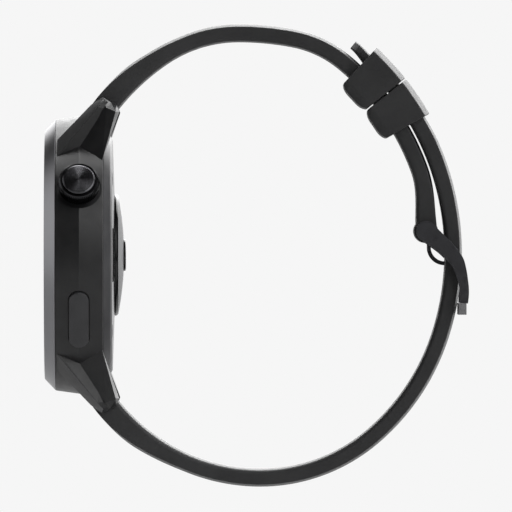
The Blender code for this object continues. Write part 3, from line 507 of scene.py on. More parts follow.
# %% [markdown]
# ## Case and lugs
# The case is one moulding: a ring with a ridge round its side, four faceted lugs, a round pocket for the
# crown and a long one for the button. The lugs come first. Each has a front and a back half, and each half is
# the tight skin round its corner points. The halves meet in a valley, which one tight skin could not have,
# and the edges of the joined lug are rounded.

# %% Lugs
LUG_GAP = 22.4
LUG_PROFILE = [
    (10.3, 17.4), (5.3, 22.6), (3.6, 23.9), (1.4, 22.8), (0.97, 21.6),
    (2.3, 18.1), (3.5, 15.5), (3.6, 14.9), (10.3, 14.9),
]
# Outer corners as (to 3 o'clock, above the wrist, to 12 o'clock). Both solids share the valley's two ends.
VALLEY = [(12.9, 7.9, 16.0), (13.0, 3.8, 21.2)]
LUG_FRONT = [(14.15, 10.4, 14.9), (14.05, 9.6, 15.3), (13.95, 4.2, 22.3), (13.2, 3.4, 23.2)]
LUG_BACK = [(14.75, 3.5, 14.3), (13.8, 1.5, 21.6), (13.5, 2.9, 22.2), (12.6, 2.2, 23.0)]


def faceted(corners):
    """The tight skin round some corners."""
    bm = bmesh.new()
    for corner in corners:
        bm.verts.new(corner)
    hull = bmesh.ops.convex_hull(bm, input=bm.verts)
    inside = {v for v in hull["geom_interior"] + hull["geom_unused"] if isinstance(v, bmesh.types.BMVert)}
    bmesh.ops.delete(bm, geom=list(inside), context="VERTS")
    bmesh.ops.dissolve_limit(bm, angle_limit=math.radians(3), verts=bm.verts, edges=bm.edges)
    return bm


def lug(end, side):
    root = [(side * LUG_GAP / 2, end * y, z) for z, y in LUG_PROFILE]
    halves = []
    for outer in (LUG_FRONT, LUG_BACK):
        halves.append(faceted(root + [(side * x, end * y, z) for x, z, y in VALLEY + outer]))
    return rounded(combined(halves[0], halves[1:], "UNION"), 0.1, segments=2, degrees=9)


print("lug outline points:", len(LUG_PROFILE) + len(VALLEY) + len(LUG_FRONT), "at the front half")

# %% [markdown]
# ## Case ring and pockets
# The ring is turned and joined to the lugs and to a boss behind each screw. The pockets are cut last, so that
# every crossing is a real edge: the crown's seat and stem bore, the button's pocket and stem bore, the four
# screw holes, and at each end the groove the strap turns in and the holes for its spring bar.

# %% Case ring and pockets
CROWN_DEG = 29.0
CROWN_SEAT_R, CROWN_FLOOR, CROWN_BORE_R = 3.4, 20.35, 1.8
BUTTON_DEG = -28.0
BUTTON_FLOOR, BUTTON_BORE_R = 19.35, 0.9
POCKET_LENGTH, POCKET_WIDTH = 9.54, 3.24
PAST_THE_CASE = 24.0
SCREW_DEGREES = [45 + 90 * k for k in range(4)]
SCREW_RING_R, SCREW_HOLE_R = 16.2, 0.57
BOSS_R, BOSS_LENGTH, BOSS_WIDTH = 17.4, 4.8, 2.4
BAR_Y, BAR_Z = 22.0, 3.45
STRAP_GROOVE_R, BAR_HOLE_R = 2.15, 0.52

case_side = [
    (CASE_BORE_R, FRONT_Z), (CASE_EDGE_R, FRONT_Z), (CASE_R, RIDGE_Z),
    (CASE_EDGE_R, BACK_Z), (CASE_BORE_R, BACK_Z),
]
case = spun(case_side, rounding=0.06, segments=2)
case = combined(case, [lug(end, side) for end in (1, -1) for side in (1, -1)], "UNION")
bosses = []
for degrees in SCREW_DEGREES:
    turn = Matrix.Rotation(math.radians(degrees), 4, "Z") @ Matrix.Translation((BOSS_R, 0, 0))
    boss = pill(BOSS_LENGTH, BOSS_WIDTH, BACK_Z + 1.1, 9.5)
    bosses.append(moved(boss, turn @ Matrix.Rotation(math.pi / 2, 4, "Z")))
case = combined(case, bosses, "UNION")
screw_places = [Matrix.Translation((*polar(SCREW_RING_R, degrees), 0)) for degrees in SCREW_DEGREES]
pockets = [
    moved(rod(CROWN_SEAT_R, CROWN_FLOOR, PAST_THE_CASE, 72), radial(CROWN_DEG)),
    moved(rod(CROWN_BORE_R, 16.5, 21.0), radial(CROWN_DEG)),
    moved(pill(POCKET_LENGTH, POCKET_WIDTH, BUTTON_FLOOR, PAST_THE_CASE), radial(BUTTON_DEG)),
    moved(rod(BUTTON_BORE_R, 16.5, 20.5), radial(BUTTON_DEG)),
]
pockets += [moved(rod(SCREW_HOLE_R, 0, 8.4, 24), place) for place in screw_places]
across = Matrix.Rotation(math.pi / 2, 4, "Y")
for end in (1, -1):
    bar = Matrix.Translation((0, end * BAR_Y, BAR_Z)) @ across
    pockets.append(moved(rod(STRAP_GROOVE_R, -8.6, 8.6), bar))
    pockets.append(moved(rod(BAR_HOLE_R, -12.4, 12.4, 32), bar))
case = combined(case, pockets, "DIFFERENCE")
finished("case_shell", case, NYLON, "watch", ["mid_case"])

# %% [markdown]
# ## Bezel, glass and display
# The bezel is a turned ring. Its wide chamfer catches most of the light, so its two edges get a small true
# radius. The glass is a polished disc that sits inside it.

# %% Bezel and glass
bezel_outline = [
    (GLASS_R + 0.1, TOP_Z), (18.75, TOP_Z), (CASE_EDGE_R, FRONT_Z + 0.05), (CASE_BORE_R - 0.1, FRONT_Z + 0.05),
    (CASE_BORE_R - 0.1, 9.95), (GLASS_R + 0.1, 9.95), (GLASS_R + 0.1, 10.95), (16.8, 10.95), (16.8, 11.15),
    (GLASS_R + 0.1, 11.15),
]
bezel = spun(bezel_outline, rounding=0.06, segments=3)
finished("bezel_ring", bezel, BEZEL_METAL, "watch", ["bezel"])

glass_outline = [(0, glass_high.z), (GLASS_R, glass_high.z), (GLASS_R, glass_low.z), (0, glass_low.z)]
glass = spun(glass_outline, rounding=0.15, closed=False, steps=160)
finished("front_glass", glass, GLASS, "watch", ["display_glass"])

# %% [markdown]
# ## Dial
# The display shows a plain running dial: sixty minute marks and a time in seven-bar digits. Each mark is a
# thin raised bar, because a real edge stays sharp at any size, where a painted texture would blur.

# %% Dial
def dial_ink():
    finish, tree, shader = new_finish("pale display ink", "#c9cfd1", 0.5)
    tinted(tree, shader, "#c2c9cc", "#d0d6d8", 0.8)
    grain(tree, shader, 0.2, 0.002)
    return finish


INK_LOW = panel_high.z + 0.01
INK_HIGH = min(panel_high.z + 0.04, glass_low.z - 0.01)
DIGIT_W, DIGIT_H, BAR_W = 2.6, 4.8, 0.5
# Each bar's place as shares of half the digit's width and height. The letters are the usual ones.
LYING_BARS = {"a": (0, 1), "g": (0, 0), "d": (0, -1)}
STANDING_BARS = {"f": (-1, 0.5), "b": (1, 0.5), "e": (-1, -0.5), "c": (1, -0.5)}
DIGITS = {"1": "bc", "0": "abcdef", "2": "abged", "8": "abcdefg"}


def add_mark(dial, size, place, turn=0.0):
    middle = Matrix.Translation((*place, (INK_LOW + INK_HIGH) / 2))
    spin_to = Matrix.Rotation(math.radians(turn), 4, "Z") @ middle
    bmesh.ops.create_cube(dial, size=1.0, matrix=spin_to @ Matrix.Diagonal((*size, INK_HIGH - INK_LOW, 1.0)))


MARK_RING_R = 14.2
LONG_MARK, SHORT_MARK = (1.5, 0.28), (0.8, 0.12)
SHOWN = (("1", -7.4), ("0", -3.4), ("2", 3.4), ("8", 7.4))

dial = bmesh.new()
for minute in range(60):
    add_mark(dial, SHORT_MARK if minute % 5 else LONG_MARK, (MARK_RING_R, 0), 6 * minute)
for digit, x in SHOWN:
    for bar in DIGITS[digit]:
        dx, dy = {**LYING_BARS, **STANDING_BARS}[bar]
        size = (DIGIT_W - BAR_W, BAR_W) if bar in LYING_BARS else (BAR_W, DIGIT_H / 2 - BAR_W)
        add_mark(dial, size, (x + dx * DIGIT_W / 2, dy * DIGIT_H / 2))
for dy in (-1.0, 1.0):
    add_mark(dial, (0.6, 0.6), (0, dy))
# A black border is printed under the glass's edge, so that nothing of the inside shows there.
BORDER_R = 15.9
border_outline = [
    (BORDER_R, INK_LOW), (GLASS_R + 0.05, INK_LOW), (GLASS_R + 0.05, INK_HIGH), (BORDER_R, INK_HIGH)
]
finished("dial_border", spun(border_outline, rounding=0.0), GLOSS, "watch")
finished("dial_marks", dial, dial_ink(), "watch", degrees=20)
print(f"dial marks between {INK_LOW:.2f} and {INK_HIGH:.2f} mm, glass from {glass_low.z:.2f} mm")

# %% [markdown]
# ## Back cover and sensor
# The back cover is turned too, with a seat for each screw and a cut for the charging strip.

# %% Back cover
COVER_RIM_R, COVER_RIM_Z = 17.4, 2.03
COVER_HOLE_R = 7.9
RING_R = 9.2
SCREW_SEAT_R, SCREW_BORE_R = 1.05, 0.6
PORT_X = 13.0


def cover_z(r):
    """The height of the cover's face, which rises a little towards the sensor's ring."""
    return COVER_RIM_Z - 0.27 * (COVER_RIM_R - r) / (COVER_RIM_R - RING_R)


cover_outline = [
    (COVER_HOLE_R, 3.35), (17.2, 3.35), (17.2, 4.4), (18.4, 4.4), (18.4, 3.35), (18.95, 3.35), (17.95, 2.33),
    (COVER_RIM_R, COVER_RIM_Z), (COVER_HOLE_R, cover_z(COVER_HOLE_R)),
]
cover = spun(cover_outline, rounding=0.06, segments=2)
seats = []
for place in screw_places:
    seats.append(moved(rod(SCREW_SEAT_R, 1.0, 2.75, 40), place))
    seats.append(moved(rod(SCREW_BORE_R, 1.0, 6.0, 24), place))
seats.append(block((3.3, 8.1, 4.0), (PORT_X, 0, 2.5)))
cover = combined(cover, seats, "DIFFERENCE")
finished("rear_cover", cover, COVER_NYLON, "watch", ["back_cover"])

# %% [markdown]
# ## Optical sensor
# The sensor stands on the cover: a black ring, a domed grey window and a small black lens. They are cast and
# polished on the real watch, and they are all round, so each is a half outline that is spun.

# %% Optical sensor
DOME_R = 8.6
LENS_HOLE_R, LENS_R = 2.45, 2.4


def dome_z(r):
    """The height of the window's domed face."""
    return 0.3 + 0.83 * (r / DOME_R) ** 2


seat_z = cover_z(RING_R) - 0.05
ring_outline = [(8.65, seat_z), (RING_R, seat_z), (RING_R, 1.48), (8.9, 1.13), (8.65, 1.13)]
finished("optical_ring", spun(ring_outline, 0.05, 160), GLOSS, "watch", ["sensor_ring"])

dome = [(DOME_R * k / 14, dome_z(DOME_R * k / 14)) for k in range(14, 3, -1)]
window_outline = [
    (0, 1.35), (7.4, 1.35), (7.4, seat_z - 0.05), (DOME_R, seat_z - 0.05), *dome,
    (LENS_HOLE_R, dome_z(LENS_HOLE_R)), (LENS_HOLE_R, 0.5), (0, 0.5),
]
window = spun(window_outline, 0.0, 160, closed=False)
finished("optical_window", window, RESIN, "watch", ["sensor_window"])
lens_outline = [(0, 0.45), (LENS_R, 0.45), (LENS_R, 0.12), (2.1, 0), (0, 0)]
lens = spun(lens_outline, 0.05, 96, closed=False)
finished("optical_lens", lens, GLOSS, "watch", ["sensor_lens"])

# %% [markdown]
# ## Crown
# The knob's rim is cut with 66 straight knurls, so a ring with alternate pairs of points pulled in is pushed
# up, and a turned blank with chamfered ends is the limit of it.

# %% Crown rim
KNURLS = 66
KNURL_DEPTH = 0.22
KNOB_BACK = 21.05
KNOB_FRONT = 23.2
KNOB_R = 3.1
CAP_R = 2.44


def knob():
    bm = bmesh.new()
    bmesh.ops.create_circle(bm, cap_ends=True, segments=4 * KNURLS, radius=KNOB_R)
    bm.verts.ensure_lookup_table()
    for index, vert in enumerate(bm.verts):
        if index % 4 in (0, 1):
            vert.co *= 1 - KNURL_DEPTH / KNOB_R
    bmesh.ops.translate(bm, verts=bm.verts, vec=(0, 0, KNOB_BACK))
    pushed(bm, next(iter(bm.faces)), (0, 0, KNOB_FRONT - KNOB_BACK))
    blank = spun(
        [
            (0, KNOB_FRONT), (2.8, KNOB_FRONT), (3.12, KNOB_FRONT - 0.36), (3.12, KNOB_BACK + 0.15),
            (2.95, KNOB_BACK), (0, KNOB_BACK),
        ],
        0.0, 120, closed=False,
    )
    bm = combined(bm, [blank], "INTERSECT")
    seat = spun([(0, 24), (2.56, 24), (2.56, KNOB_FRONT - 0.4), (0, KNOB_FRONT - 0.4)], 0.0, 96, closed=False)
    return combined(bm, [seat, rod(1.05, 20, 22.65)], "DIFFERENCE")


finished("crown_rim", moved(knob(), radial(CROWN_DEG)), CROWN_METAL, "crown", ["crown_knob"])

# %% [markdown]
# ## Crown cap
# A separate cap sits in the rim, faced on a lathe. Its circular lines reflect as bright fans, which an
# anisotropic shader makes from a tangent that runs round the cap, so the cap gets a UV map that does.

# %% Crown cap
def faced_metal():
    """Faced steel. Real tool lines are finer than 0.07 mm, but these still open into fans of light."""
    finish, tree, shader = turned_metal(
        "vapour-coated steel, faced", "#5c5c5f", 0.22, STAND_UP @ radial(CROWN_DEG), 0.07, 0.016
    )
    shader.inputs["Anisotropic"].default_value = 0.9
    shader.inputs["Anisotropic Rotation"].default_value = 0.25
    tangent = add_node(tree, "ShaderNodeTangent", direction_type="UV_MAP", uv_map="round")
    tree.links.new(tangent.outputs["Tangent"], shader.inputs["Tangent"])
    return finish


def round_uv(obj, axis_matrix):
    """A UV map whose U runs round the axis, for the tangent."""
    mesh = obj.data
    layer = mesh.uv_layers.new(name="round")
    back = axis_matrix.inverted() @ LAY_DOWN
    for face in mesh.polygons:
        middle = back @ face.center
        base = math.atan2(middle.y, middle.x)
        for index in face.loop_indices:
            p = back @ mesh.vertices[mesh.loops[index].vertex_index].co
            reach = math.hypot(p.x, p.y)
            angle = math.atan2(p.y, p.x) if reach > 1e-4 else base
            angle += math.tau * round((base - angle) / math.tau)
            layer.data[index].uv = (angle / math.tau, reach)


cap_outline = [(0, 23.69), (2.24, 23.65), (CAP_R, 23.5), (CAP_R, 22.98), (0, 22.98)]
cap_shape = moved(spun(cap_outline, 0.03, 120, closed=False), radial(CROWN_DEG))
cap = finished("crown_face", cap_shape, faced_metal(), "crown", ["crown_cap"])
round_uv(cap, radial(CROWN_DEG))

# %% [markdown]
# ## Button
# The button carries the case's ridge across its own face, so it starts as a slice of a turned ring and a pill
# shape is cut out of it. Its rim is rounded a little, which draws the fine light line round it.

# %% Button
PROUD = 0.5
BUTTON_LENGTH, BUTTON_WIDTH = 9.3, 3.0
BUTTON_BACK = 19.95
slice_outline = [
    (17.5, FRONT_Z), (CASE_EDGE_R + PROUD, FRONT_Z), (CASE_R + PROUD, RIDGE_Z),
    (CASE_EDGE_R + PROUD, BACK_Z), (17.5, BACK_Z),
]
pill_cutter = moved(pill(BUTTON_LENGTH, BUTTON_WIDTH, BUTTON_BACK, 25.0, 20), radial(BUTTON_DEG))
button = combined(spun(slice_outline, 0.0, 360), [pill_cutter], "INTERSECT")
finished("button_face", rounded(button, 0.14, 3, 50), BUTTON_NYLON, "button", ["button_cap"])

# %% [markdown]
# ## Strap lines
# Both straps follow smooth chains of arcs, drawn in the side view. Points there are (away from the display,
# to 12 o'clock), so the third direction of the watch frame is turned over. Two arcs that meet smoothly take
# the strap from its lug to the top of the loop, two more bring it to the round stretch that the keepers slide
# on.

# %% Strap lines
KEEPER_CENTRE = Vector((9.1, 0.28))
UPPER_ARC_R = 36.22
STRAP_T = 2.2
STRAP_CROWN = 0.4
TAIL_ARC_R = UPPER_ARC_R + STRAP_T + STRAP_CROWN + 0.3
PIN = Vector((45.3, 3.64))
STRAP_LUG_T = 3.5
STRAP_HEADING = 54.0
LOWER_ARC_START = -18.0
TAIL_END = 51.3
TAIL_TAPER_START = 24.0
TAIL_T = 1.1
TAIL_LIFT = 0.65


def heading(degrees):
    """The direction at an angle in the side view."""
    return Vector(polar(1.0, degrees))


def left_of(tangent):
    return Vector((-tangent.y, tangent.x))


def arc_to(start, tangent, end, step=0.9):
    """Points and directions along the arc that leaves start along tangent and ends at end."""
    chord = end - start
    radius = chord.length_squared / (2 * chord.dot(left_of(tangent)))
    centre = start + left_of(tangent) * radius
    sweep = math.copysign(2 * math.asin(min(1.0, chord.length / (2 * abs(radius)))), radius)
    count = max(2, round(abs(radius * sweep) / step))
    turns = [Matrix.Rotation(sweep * k / count, 2) for k in range(1, count + 1)]
    return [(centre + turn @ (start - centre), turn @ tangent) for turn in turns]


def biarc(start, tangent, end, end_tangent):
    """Two arcs that join smoothly and meet both ends smoothly."""
    chord = end - start
    spread = 2 * (1 - tangent.dot(end_tangent))
    reach = chord.dot(tangent + end_tangent)
    d = (-reach + math.sqrt(reach * reach + spread * chord.length_squared)) / spread
    first = arc_to(start, tangent, (start + end + (tangent - end_tangent) * d) / 2)
    return first + arc_to(*first[-1], end)


def keeper_point(radius, degrees):
    return KEEPER_CENTRE + Vector(polar(radius, degrees))


def keeper_arc(radius, first, last, step=1.2):
    """Points and directions round the keepers' centre, from one angle to another."""
    turn = 90 if last > first else -90
    count = round(abs(last - first) / step)
    angles = [first + (last - first) * k / count for k in range(count + 1)]
    return [(keeper_point(radius, a), heading(a + turn)) for a in angles]


def bar_centre(end):
    return Vector((-BAR_Z, end * BAR_Y))


def strap_line(end, top, arc):
    """Inner line of a strap from its lug, over the loop's top or bottom, to the end of its round stretch."""
    tangent = heading(end * STRAP_HEADING)
    start = bar_centre(end) - left_of(tangent) * (end * STRAP_LUG_T / 2)
    line = [(start, tangent)] + biarc(start, tangent, top, heading(0)) + biarc(top, heading(0), *arc[0])
    return line + arc[1:]


def distances(line):
    """How far along a line each of its points is."""
    run = [0.0]
    for (a, _), (b, _) in zip(line, line[1:]):
        run.append(run[-1] + (b - a).length)
    return run


pin_degrees = math.degrees(math.atan2(*(PIN - KEEPER_CENTRE).yx))
upper_line = strap_line(1, Vector((17.0, 32.3)), keeper_arc(UPPER_ARC_R, 50.5, pin_degrees))
lower_line = strap_line(-1, Vector((20.3, -32.45)), keeper_arc(TAIL_ARC_R, LOWER_ARC_START, TAIL_END))
print(f"upper strap {distances(upper_line)[-1]:.0f} mm, lower strap {distances(lower_line)[-1]:.0f} mm")

# %% [markdown]
# ## Strap section
# A strap's section is flat on the wrist's side, with a soft fillet to its upright edges and a crowned outer
# face. Its width, thickness and crown change smoothly with the distance from the lug.

# %% Strap section
STRAP_FILLET = 0.6
STRAP_EDGE = 0.14
LUG_WIDTH, NARROWING, NARROWING_RUN = 21.8, 1.8, 22.0
THINNING_RUN, CROWN_RUN = 16.0, 8.0


def smooth(t):
    """Goes from 0 to 1 without a corner at either end."""
    t = max(0.0, min(1.0, t))
    return t * t * (3 - 2 * t)


def strap_half_width(s):
    return (LUG_WIDTH - NARROWING * smooth(s / NARROWING_RUN)) / 2


def lug_thickness(s):
    return STRAP_LUG_T + (STRAP_T - STRAP_LUG_T) * smooth(s / THINNING_RUN)


def crown_rise(s):
    """The outer face is flat where it runs round the spring bar, and crowned from there on."""
    return STRAP_CROWN * smooth(s / CROWN_RUN)


def section(point, across, half, thickness, crown):
    """The strap's outline at one station, right side first. Across points away from the wrist."""
    fillet = min(STRAP_FILLET, thickness / 3)
    rows = [(0.0, 0.0), (half * 0.5, 0.0)]
    for k in range(6):
        x, y = polar(fillet, -90 + 18 * k)
        rows.append((half - fillet + x, fillet + y))
    for k in range(5):
        x, y = polar(STRAP_EDGE, 20 * k)
        rows.append((half - STRAP_EDGE + x, thickness - STRAP_EDGE + y))
    for share in (0.85, 0.65, 0.45, 0.22, 0.0):
        rows.append((half * share, thickness + crown * (1 - share**2)))
    right = []
    for x, lift in rows:
        p = point + across * lift
        right.append(Vector((x, p.y, -p.x)))
    return right + [Vector((-p.x, p.y, p.z)) for p in reversed(right[1:-1])]


widths = [2 * strap_half_width(s) for s in (0, NARROWING_RUN)]
print(f"strap {widths[0]:.1f} mm wide at the lug, {widths[1]:.1f} mm beyond")

# %% [markdown]
# ## Strap stations
# One face is made at the lug and extruded station by station along the line, and each new ring of points is
# set to the section there. The outside stays an even row of quads, however the strap thickens or narrows. The
# extrude operator also leaves each old end face inside the solid, and this script does not remove them, so
# both straps still hold stray inner faces. The upper strap thickens again into the wrap round the buckle's
# pin. The lower one thins to a rounded tail, whose free end springs off the layer under it.

# %% Strap stations
PIN_WRAP_RUN = 9.0
PIN_WRAP_R, PIN_WRAP_T = 34.95, 3.1
TIP_RUN, TIP_NARROWING = 5.0, 4.0
LIFT_RUN = 4.5


def extruded_along(sections):
    """A solid whose outside passes through every section. Old end faces stay inside it."""
    bm = bmesh.new()
    face = bm.faces.new([bm.verts.new(p) for p in sections[0]])
    for points in sections[1:]:
        pushed_out = bmesh.ops.extrude_face_region(bm, geom=[face])
        faces = [g for g in pushed_out["geom"] if isinstance(g, bmesh.types.BMFace)]
        face = faces[0]
        for vert, place in zip(face.verts, points):
            vert.co = place
    return bm


def upper_sections():
    run = distances(upper_line)
    made = []
    for (point, tangent), s in zip(upper_line, run):
        near_pin = smooth((s - (run[-1] - PIN_WRAP_RUN)) / PIN_WRAP_RUN)
        across = left_of(tangent)
        shift = across * ((PIN_WRAP_R - UPPER_ARC_R) * near_pin)
        thickness = lug_thickness(s) + (PIN_WRAP_T - STRAP_T) * near_pin
        crown = crown_rise(s) * (1 - near_pin)
        made.append(section(point + shift, across, strap_half_width(s), thickness, crown))
    return made


def lower_sections():
    run = distances(lower_line)
    tail = math.radians(TAIL_END - TAIL_TAPER_START) * TAIL_ARC_R
    made = []
    for (point, tangent), s in zip(lower_line, run):
        taper = max(0.0, (s - (run[-1] - tail)) / tail)
        thickness = lug_thickness(s) + (TAIL_T - STRAP_T) * taper ** 1.5
        tip = max(0.0, (s - (run[-1] - TIP_RUN)) / TIP_RUN)
        half = strap_half_width(s) - TIP_NARROWING * (1 - math.sqrt(1 - tip * tip * 0.96))
        across = -left_of(tangent)
        lift = across * (TAIL_LIFT * smooth((s - (run[-1] - LIFT_RUN)) / LIFT_RUN))
        made.append(section(point + lift, across, half, thickness, crown_rise(s) * (1 - 0.5 * taper)))
    return made


print("stations:", len(upper_line), "in the upper strap,", len(lower_line), "in the lower")

# %% [markdown]
# ## Strap holes and slots
# The cutters are drawn in the side view too, or about Z for the holes, and placed by a matrix. Holes are
# rounded slots square to the strap where they go through it. A pocket near each lug lets a nail reach the
# spring bar's release pin.

# %% Strap holes and slots
SIDE = Matrix(((0, 0, 1, 0), (0, 1, 0, 0), (-1, 0, 0, 0), (0, 0, 0, 1)))
HOLE_LENGTH, HOLE_WIDTH = 5.0, 3.0
HOLE_FIRST = -3.2
HOLE_PITCH = 7.0
HOLES_EACH_WAY = 4
POCKET_CORNERS = ((-0.2, -1.3), (4.0, -1.3), (4.0, 1.3), (-0.2, 1.3))


def side_rod(centre, radius, half, steps=40):
    """A rod along X at a point of the side view."""
    return moved(moved(rod(radius, -half, half, steps), Matrix.Translation((*centre, 0))), SIDE)


def side_prism(corners, low, high):
    """A side-view outline pushed along X."""
    bm = bmesh.new()
    face = bm.faces.new([bm.verts.new((a, b, low)) for a, b in corners])
    return moved(pushed(bm, face, (0, 0, high - low)), SIDE)


def release_pocket(end):
    centre, tangent = bar_centre(end), heading(end * STRAP_HEADING)
    inward = -left_of(tangent) * end
    corners = [centre + inward * a + tangent * b for a, b in POCKET_CORNERS]
    return side_prism([tuple(c) for c in corners], 6.0, 9.2)


def hole(degrees_along):
    """A rounded slot through the lower strap, at an angle round the keepers' centre or past the arc's start."""
    run = distances(lower_line)
    arc_start = keeper_point(TAIL_ARC_R, LOWER_ARC_START)
    nearest = min(range(len(run)), key=lambda k: (lower_line[k][0] - arc_start).length)
    want = run[nearest] + math.radians(degrees_along - LOWER_ARC_START) * TAIL_ARC_R
    k = max(i for i in range(len(run) - 1) if run[i] <= want)
    share = (want - run[k]) / (run[k + 1] - run[k])
    point = lower_line[k][0].lerp(lower_line[k + 1][0], share)
    tangent = lower_line[k][1].lerp(lower_line[k + 1][1], share).normalized()
    across = -left_of(tangent)
    place = Matrix.Identity(4)
    place.col[1].xyz = (0, tangent.y, -tangent.x)
    place.col[2].xyz = (0, across.y, -across.x)
    place.col[3].xyz = (0, point.y, -point.x)
    return moved(pill(HOLE_LENGTH, HOLE_WIDTH, -2.0, 5.0), place)


pitch_degrees = math.degrees(HOLE_PITCH / (TAIL_ARC_R + 1))
hole_degrees = [HOLE_FIRST + pitch_degrees * k for k in range(-HOLES_EACH_WAY, HOLES_EACH_WAY + 1)]
print(len(hole_degrees), "holes,", f"{pitch_degrees:.1f} degrees apart")

# %% [markdown]
# ## Strap bodies
# Each strap is its stations' solid with a round wrap joined on for the spring bar, and for the pin on the
# upper one. The wraps stop a hair inside the strap's edges, because two faces that lie on each other confuse
# the Boolean. The bores, the slot for the tongue, the pockets and the holes are then cut.

# %% Strap bodies
LUG_WRAP_HALF, PIN_WRAP_HALF = 10.87, 9.97
BAR_BORE_R, PIN_BORE_R = 0.92, 0.8
SLOT_HALF, SLOT_REACH = 1.45, 2.3


def lug_wrap(end):
    return side_rod(bar_centre(end), STRAP_LUG_T / 2, LUG_WRAP_HALF, 64)


def bar_bore(end):
    return side_rod(bar_centre(end), BAR_BORE_R, 12)


pin_wrap = side_rod(PIN, 1.8, PIN_WRAP_HALF, 64)
upper = combined(extruded_along(upper_sections()), [lug_wrap(1), pin_wrap], "UNION")
x, y = PIN
slot_corners = [(x - 4, y - 4), (x + 4, y - 4), (x + 4, y + SLOT_REACH), (x - 4, y + SLOT_REACH)]
slot = side_prism(slot_corners, -SLOT_HALF, SLOT_HALF)
upper = combined(upper, [bar_bore(1), side_rod(PIN, PIN_BORE_R, 12), slot, release_pocket(1)], "DIFFERENCE")
finished("strap_buckle_side", upper, SILICONE, "watch", ["strap_upper"])

lower = combined(extruded_along(lower_sections()), [lug_wrap(-1)], "UNION")
holes = [hole(degrees) for degrees in hole_degrees]
lower = combined(lower, [bar_bore(-1), release_pocket(-1), *holes], "DIFFERENCE")
finished("strap_hole_side", lower, SILICONE, "watch", ["strap_lower"])

# %% [markdown]
# ## Keepers
# Each keeper is a moulded loop that hugs both straps. Its outer and inner outlines are bridged into one flat
# ring, and the ring is spun a few degrees about the straps' own centre, so the keeper fans out as they do.
# Every edge is rounded, and the wrist side is bowed a little, where the rubber is stretched.

# %% Keepers
KEEPER_CLEAR = 0.3
KEEPER_HUG = 0.15
KEEPER_SPAN = 8.5
KEEPER_WALL = 1.0
KEEPER_TOP_WALL = 0.55
KEEPER_CROWN = 0.8
KEEPER_BOW = 0.7
KEEPER_PLACES = {"keeper_upper": 42.9, "keeper_lower": 34.1}


def arched(half, edge_height, rise, corner, steps=7):
    """The right half of a crowned top, from the side's upright to the middle, with a rounded corner."""
    row = []
    for k in range(5):
        x, y = polar(corner, 20 * k)
        row.append((half - corner + x, edge_height - corner + y))
    for k in range(steps):
        share = 1 - k / steps
        row.append((half * share * 0.9, edge_height + rise * (1 - (0.9 * share) ** 2)))
    return row


def keeper_outlines():
    """The keeper's outer and inner outlines, as (across the strap, distance from the keepers' centre)."""
    low = UPPER_ARC_R - KEEPER_CLEAR
    high = TAIL_ARC_R + STRAP_T + KEEPER_HUG
    half = 10.0 + KEEPER_CLEAR
    side = half + KEEPER_WALL
    outer, inner = [], []
    for k in range(7):
        x, y = polar(1.0, -90 + 15 * k)
        outer.append((side - 0.9 + 0.9 * x, low - KEEPER_WALL + 0.9 + 0.9 * y))
        inner.append((half - 0.3 + 0.3 * x, low + 0.3 + 0.3 * y))
    outer += arched(side, high + STRAP_CROWN + KEEPER_TOP_WALL - KEEPER_CROWN, KEEPER_CROWN, 0.18)
    inner += arched(half, high, STRAP_CROWN, 0.25)
    return [right + [(-x, r) for x, r in reversed(right)] for right in (outer, inner)]


def keeper(node, at):
    bm = bmesh.new()
    for outline in keeper_outlines():
        points = [(x, keeper_point(r, at - KEEPER_SPAN / 2)) for x, r in outline]
        verts = [bm.verts.new((x, p.y, -p.x)) for x, p in points]
        for a, b in zip(verts, verts[1:] + verts[:1]):
            bm.edges.new((a, b))
    bmesh.ops.bridge_loops(bm, edges=bm.edges)
    bmesh.ops.spin(
        bm, geom=bm.faces[:], cent=(0, KEEPER_CENTRE.y, -KEEPER_CENTRE.x), axis=(1, 0, 0),
        angle=math.radians(KEEPER_SPAN), steps=12, use_merge=False,
    )
    rounded(bm, 0.24, 4, 60)
    # The rubber is stretched over the straps, so its wrist side bows out between the two rims.
    low = UPPER_ARC_R - KEEPER_CLEAR
    for vert in bm.verts:
        arm = Vector((-vert.co.z, vert.co.y)) - KEEPER_CENTRE
        offset = (math.degrees(math.atan2(arm.y, arm.x)) - at) / (KEEPER_SPAN / 2)
        share = max(0.0, min(1.0, (low - arm.length) / KEEPER_WALL)) * max(0.0, 1 - offset**4)
        p = KEEPER_CENTRE + arm * (1 - KEEPER_BOW * share / arm.length)
        vert.co.y, vert.co.z = p.y, -p.x
    return finished(f"{node}_loop", bm, SILICONE, node, [node])


for keeper_node, degrees in KEEPER_PLACES.items():
    keeper(keeper_node, degrees)

# %% [markdown]
# ## Buckle
# The buckle frame is two arms cut from flat steel, with a round end at the pin, joined to a bar that lies
# past the strap. Each arm is a band that follows a smooth path in the side view, closed by its round end as
# one outline, and pushed through its thickness. The bar has a notch for the tongue's tip, and all edges are
# rounded.

# %% Buckle
def stroke(path, widths):
    """The outline of a band that follows a path, with its width at each point."""
    left, right = [], []
    for k, point in enumerate(path):
        before, after = path[max(0, k - 1)], path[min(len(path) - 1, k + 1)]
        across = left_of((after - before).normalized()) * (widths[k] / 2)
        left.append(tuple(point + across))
        right.append(tuple(point - across))
    return left + right[::-1]


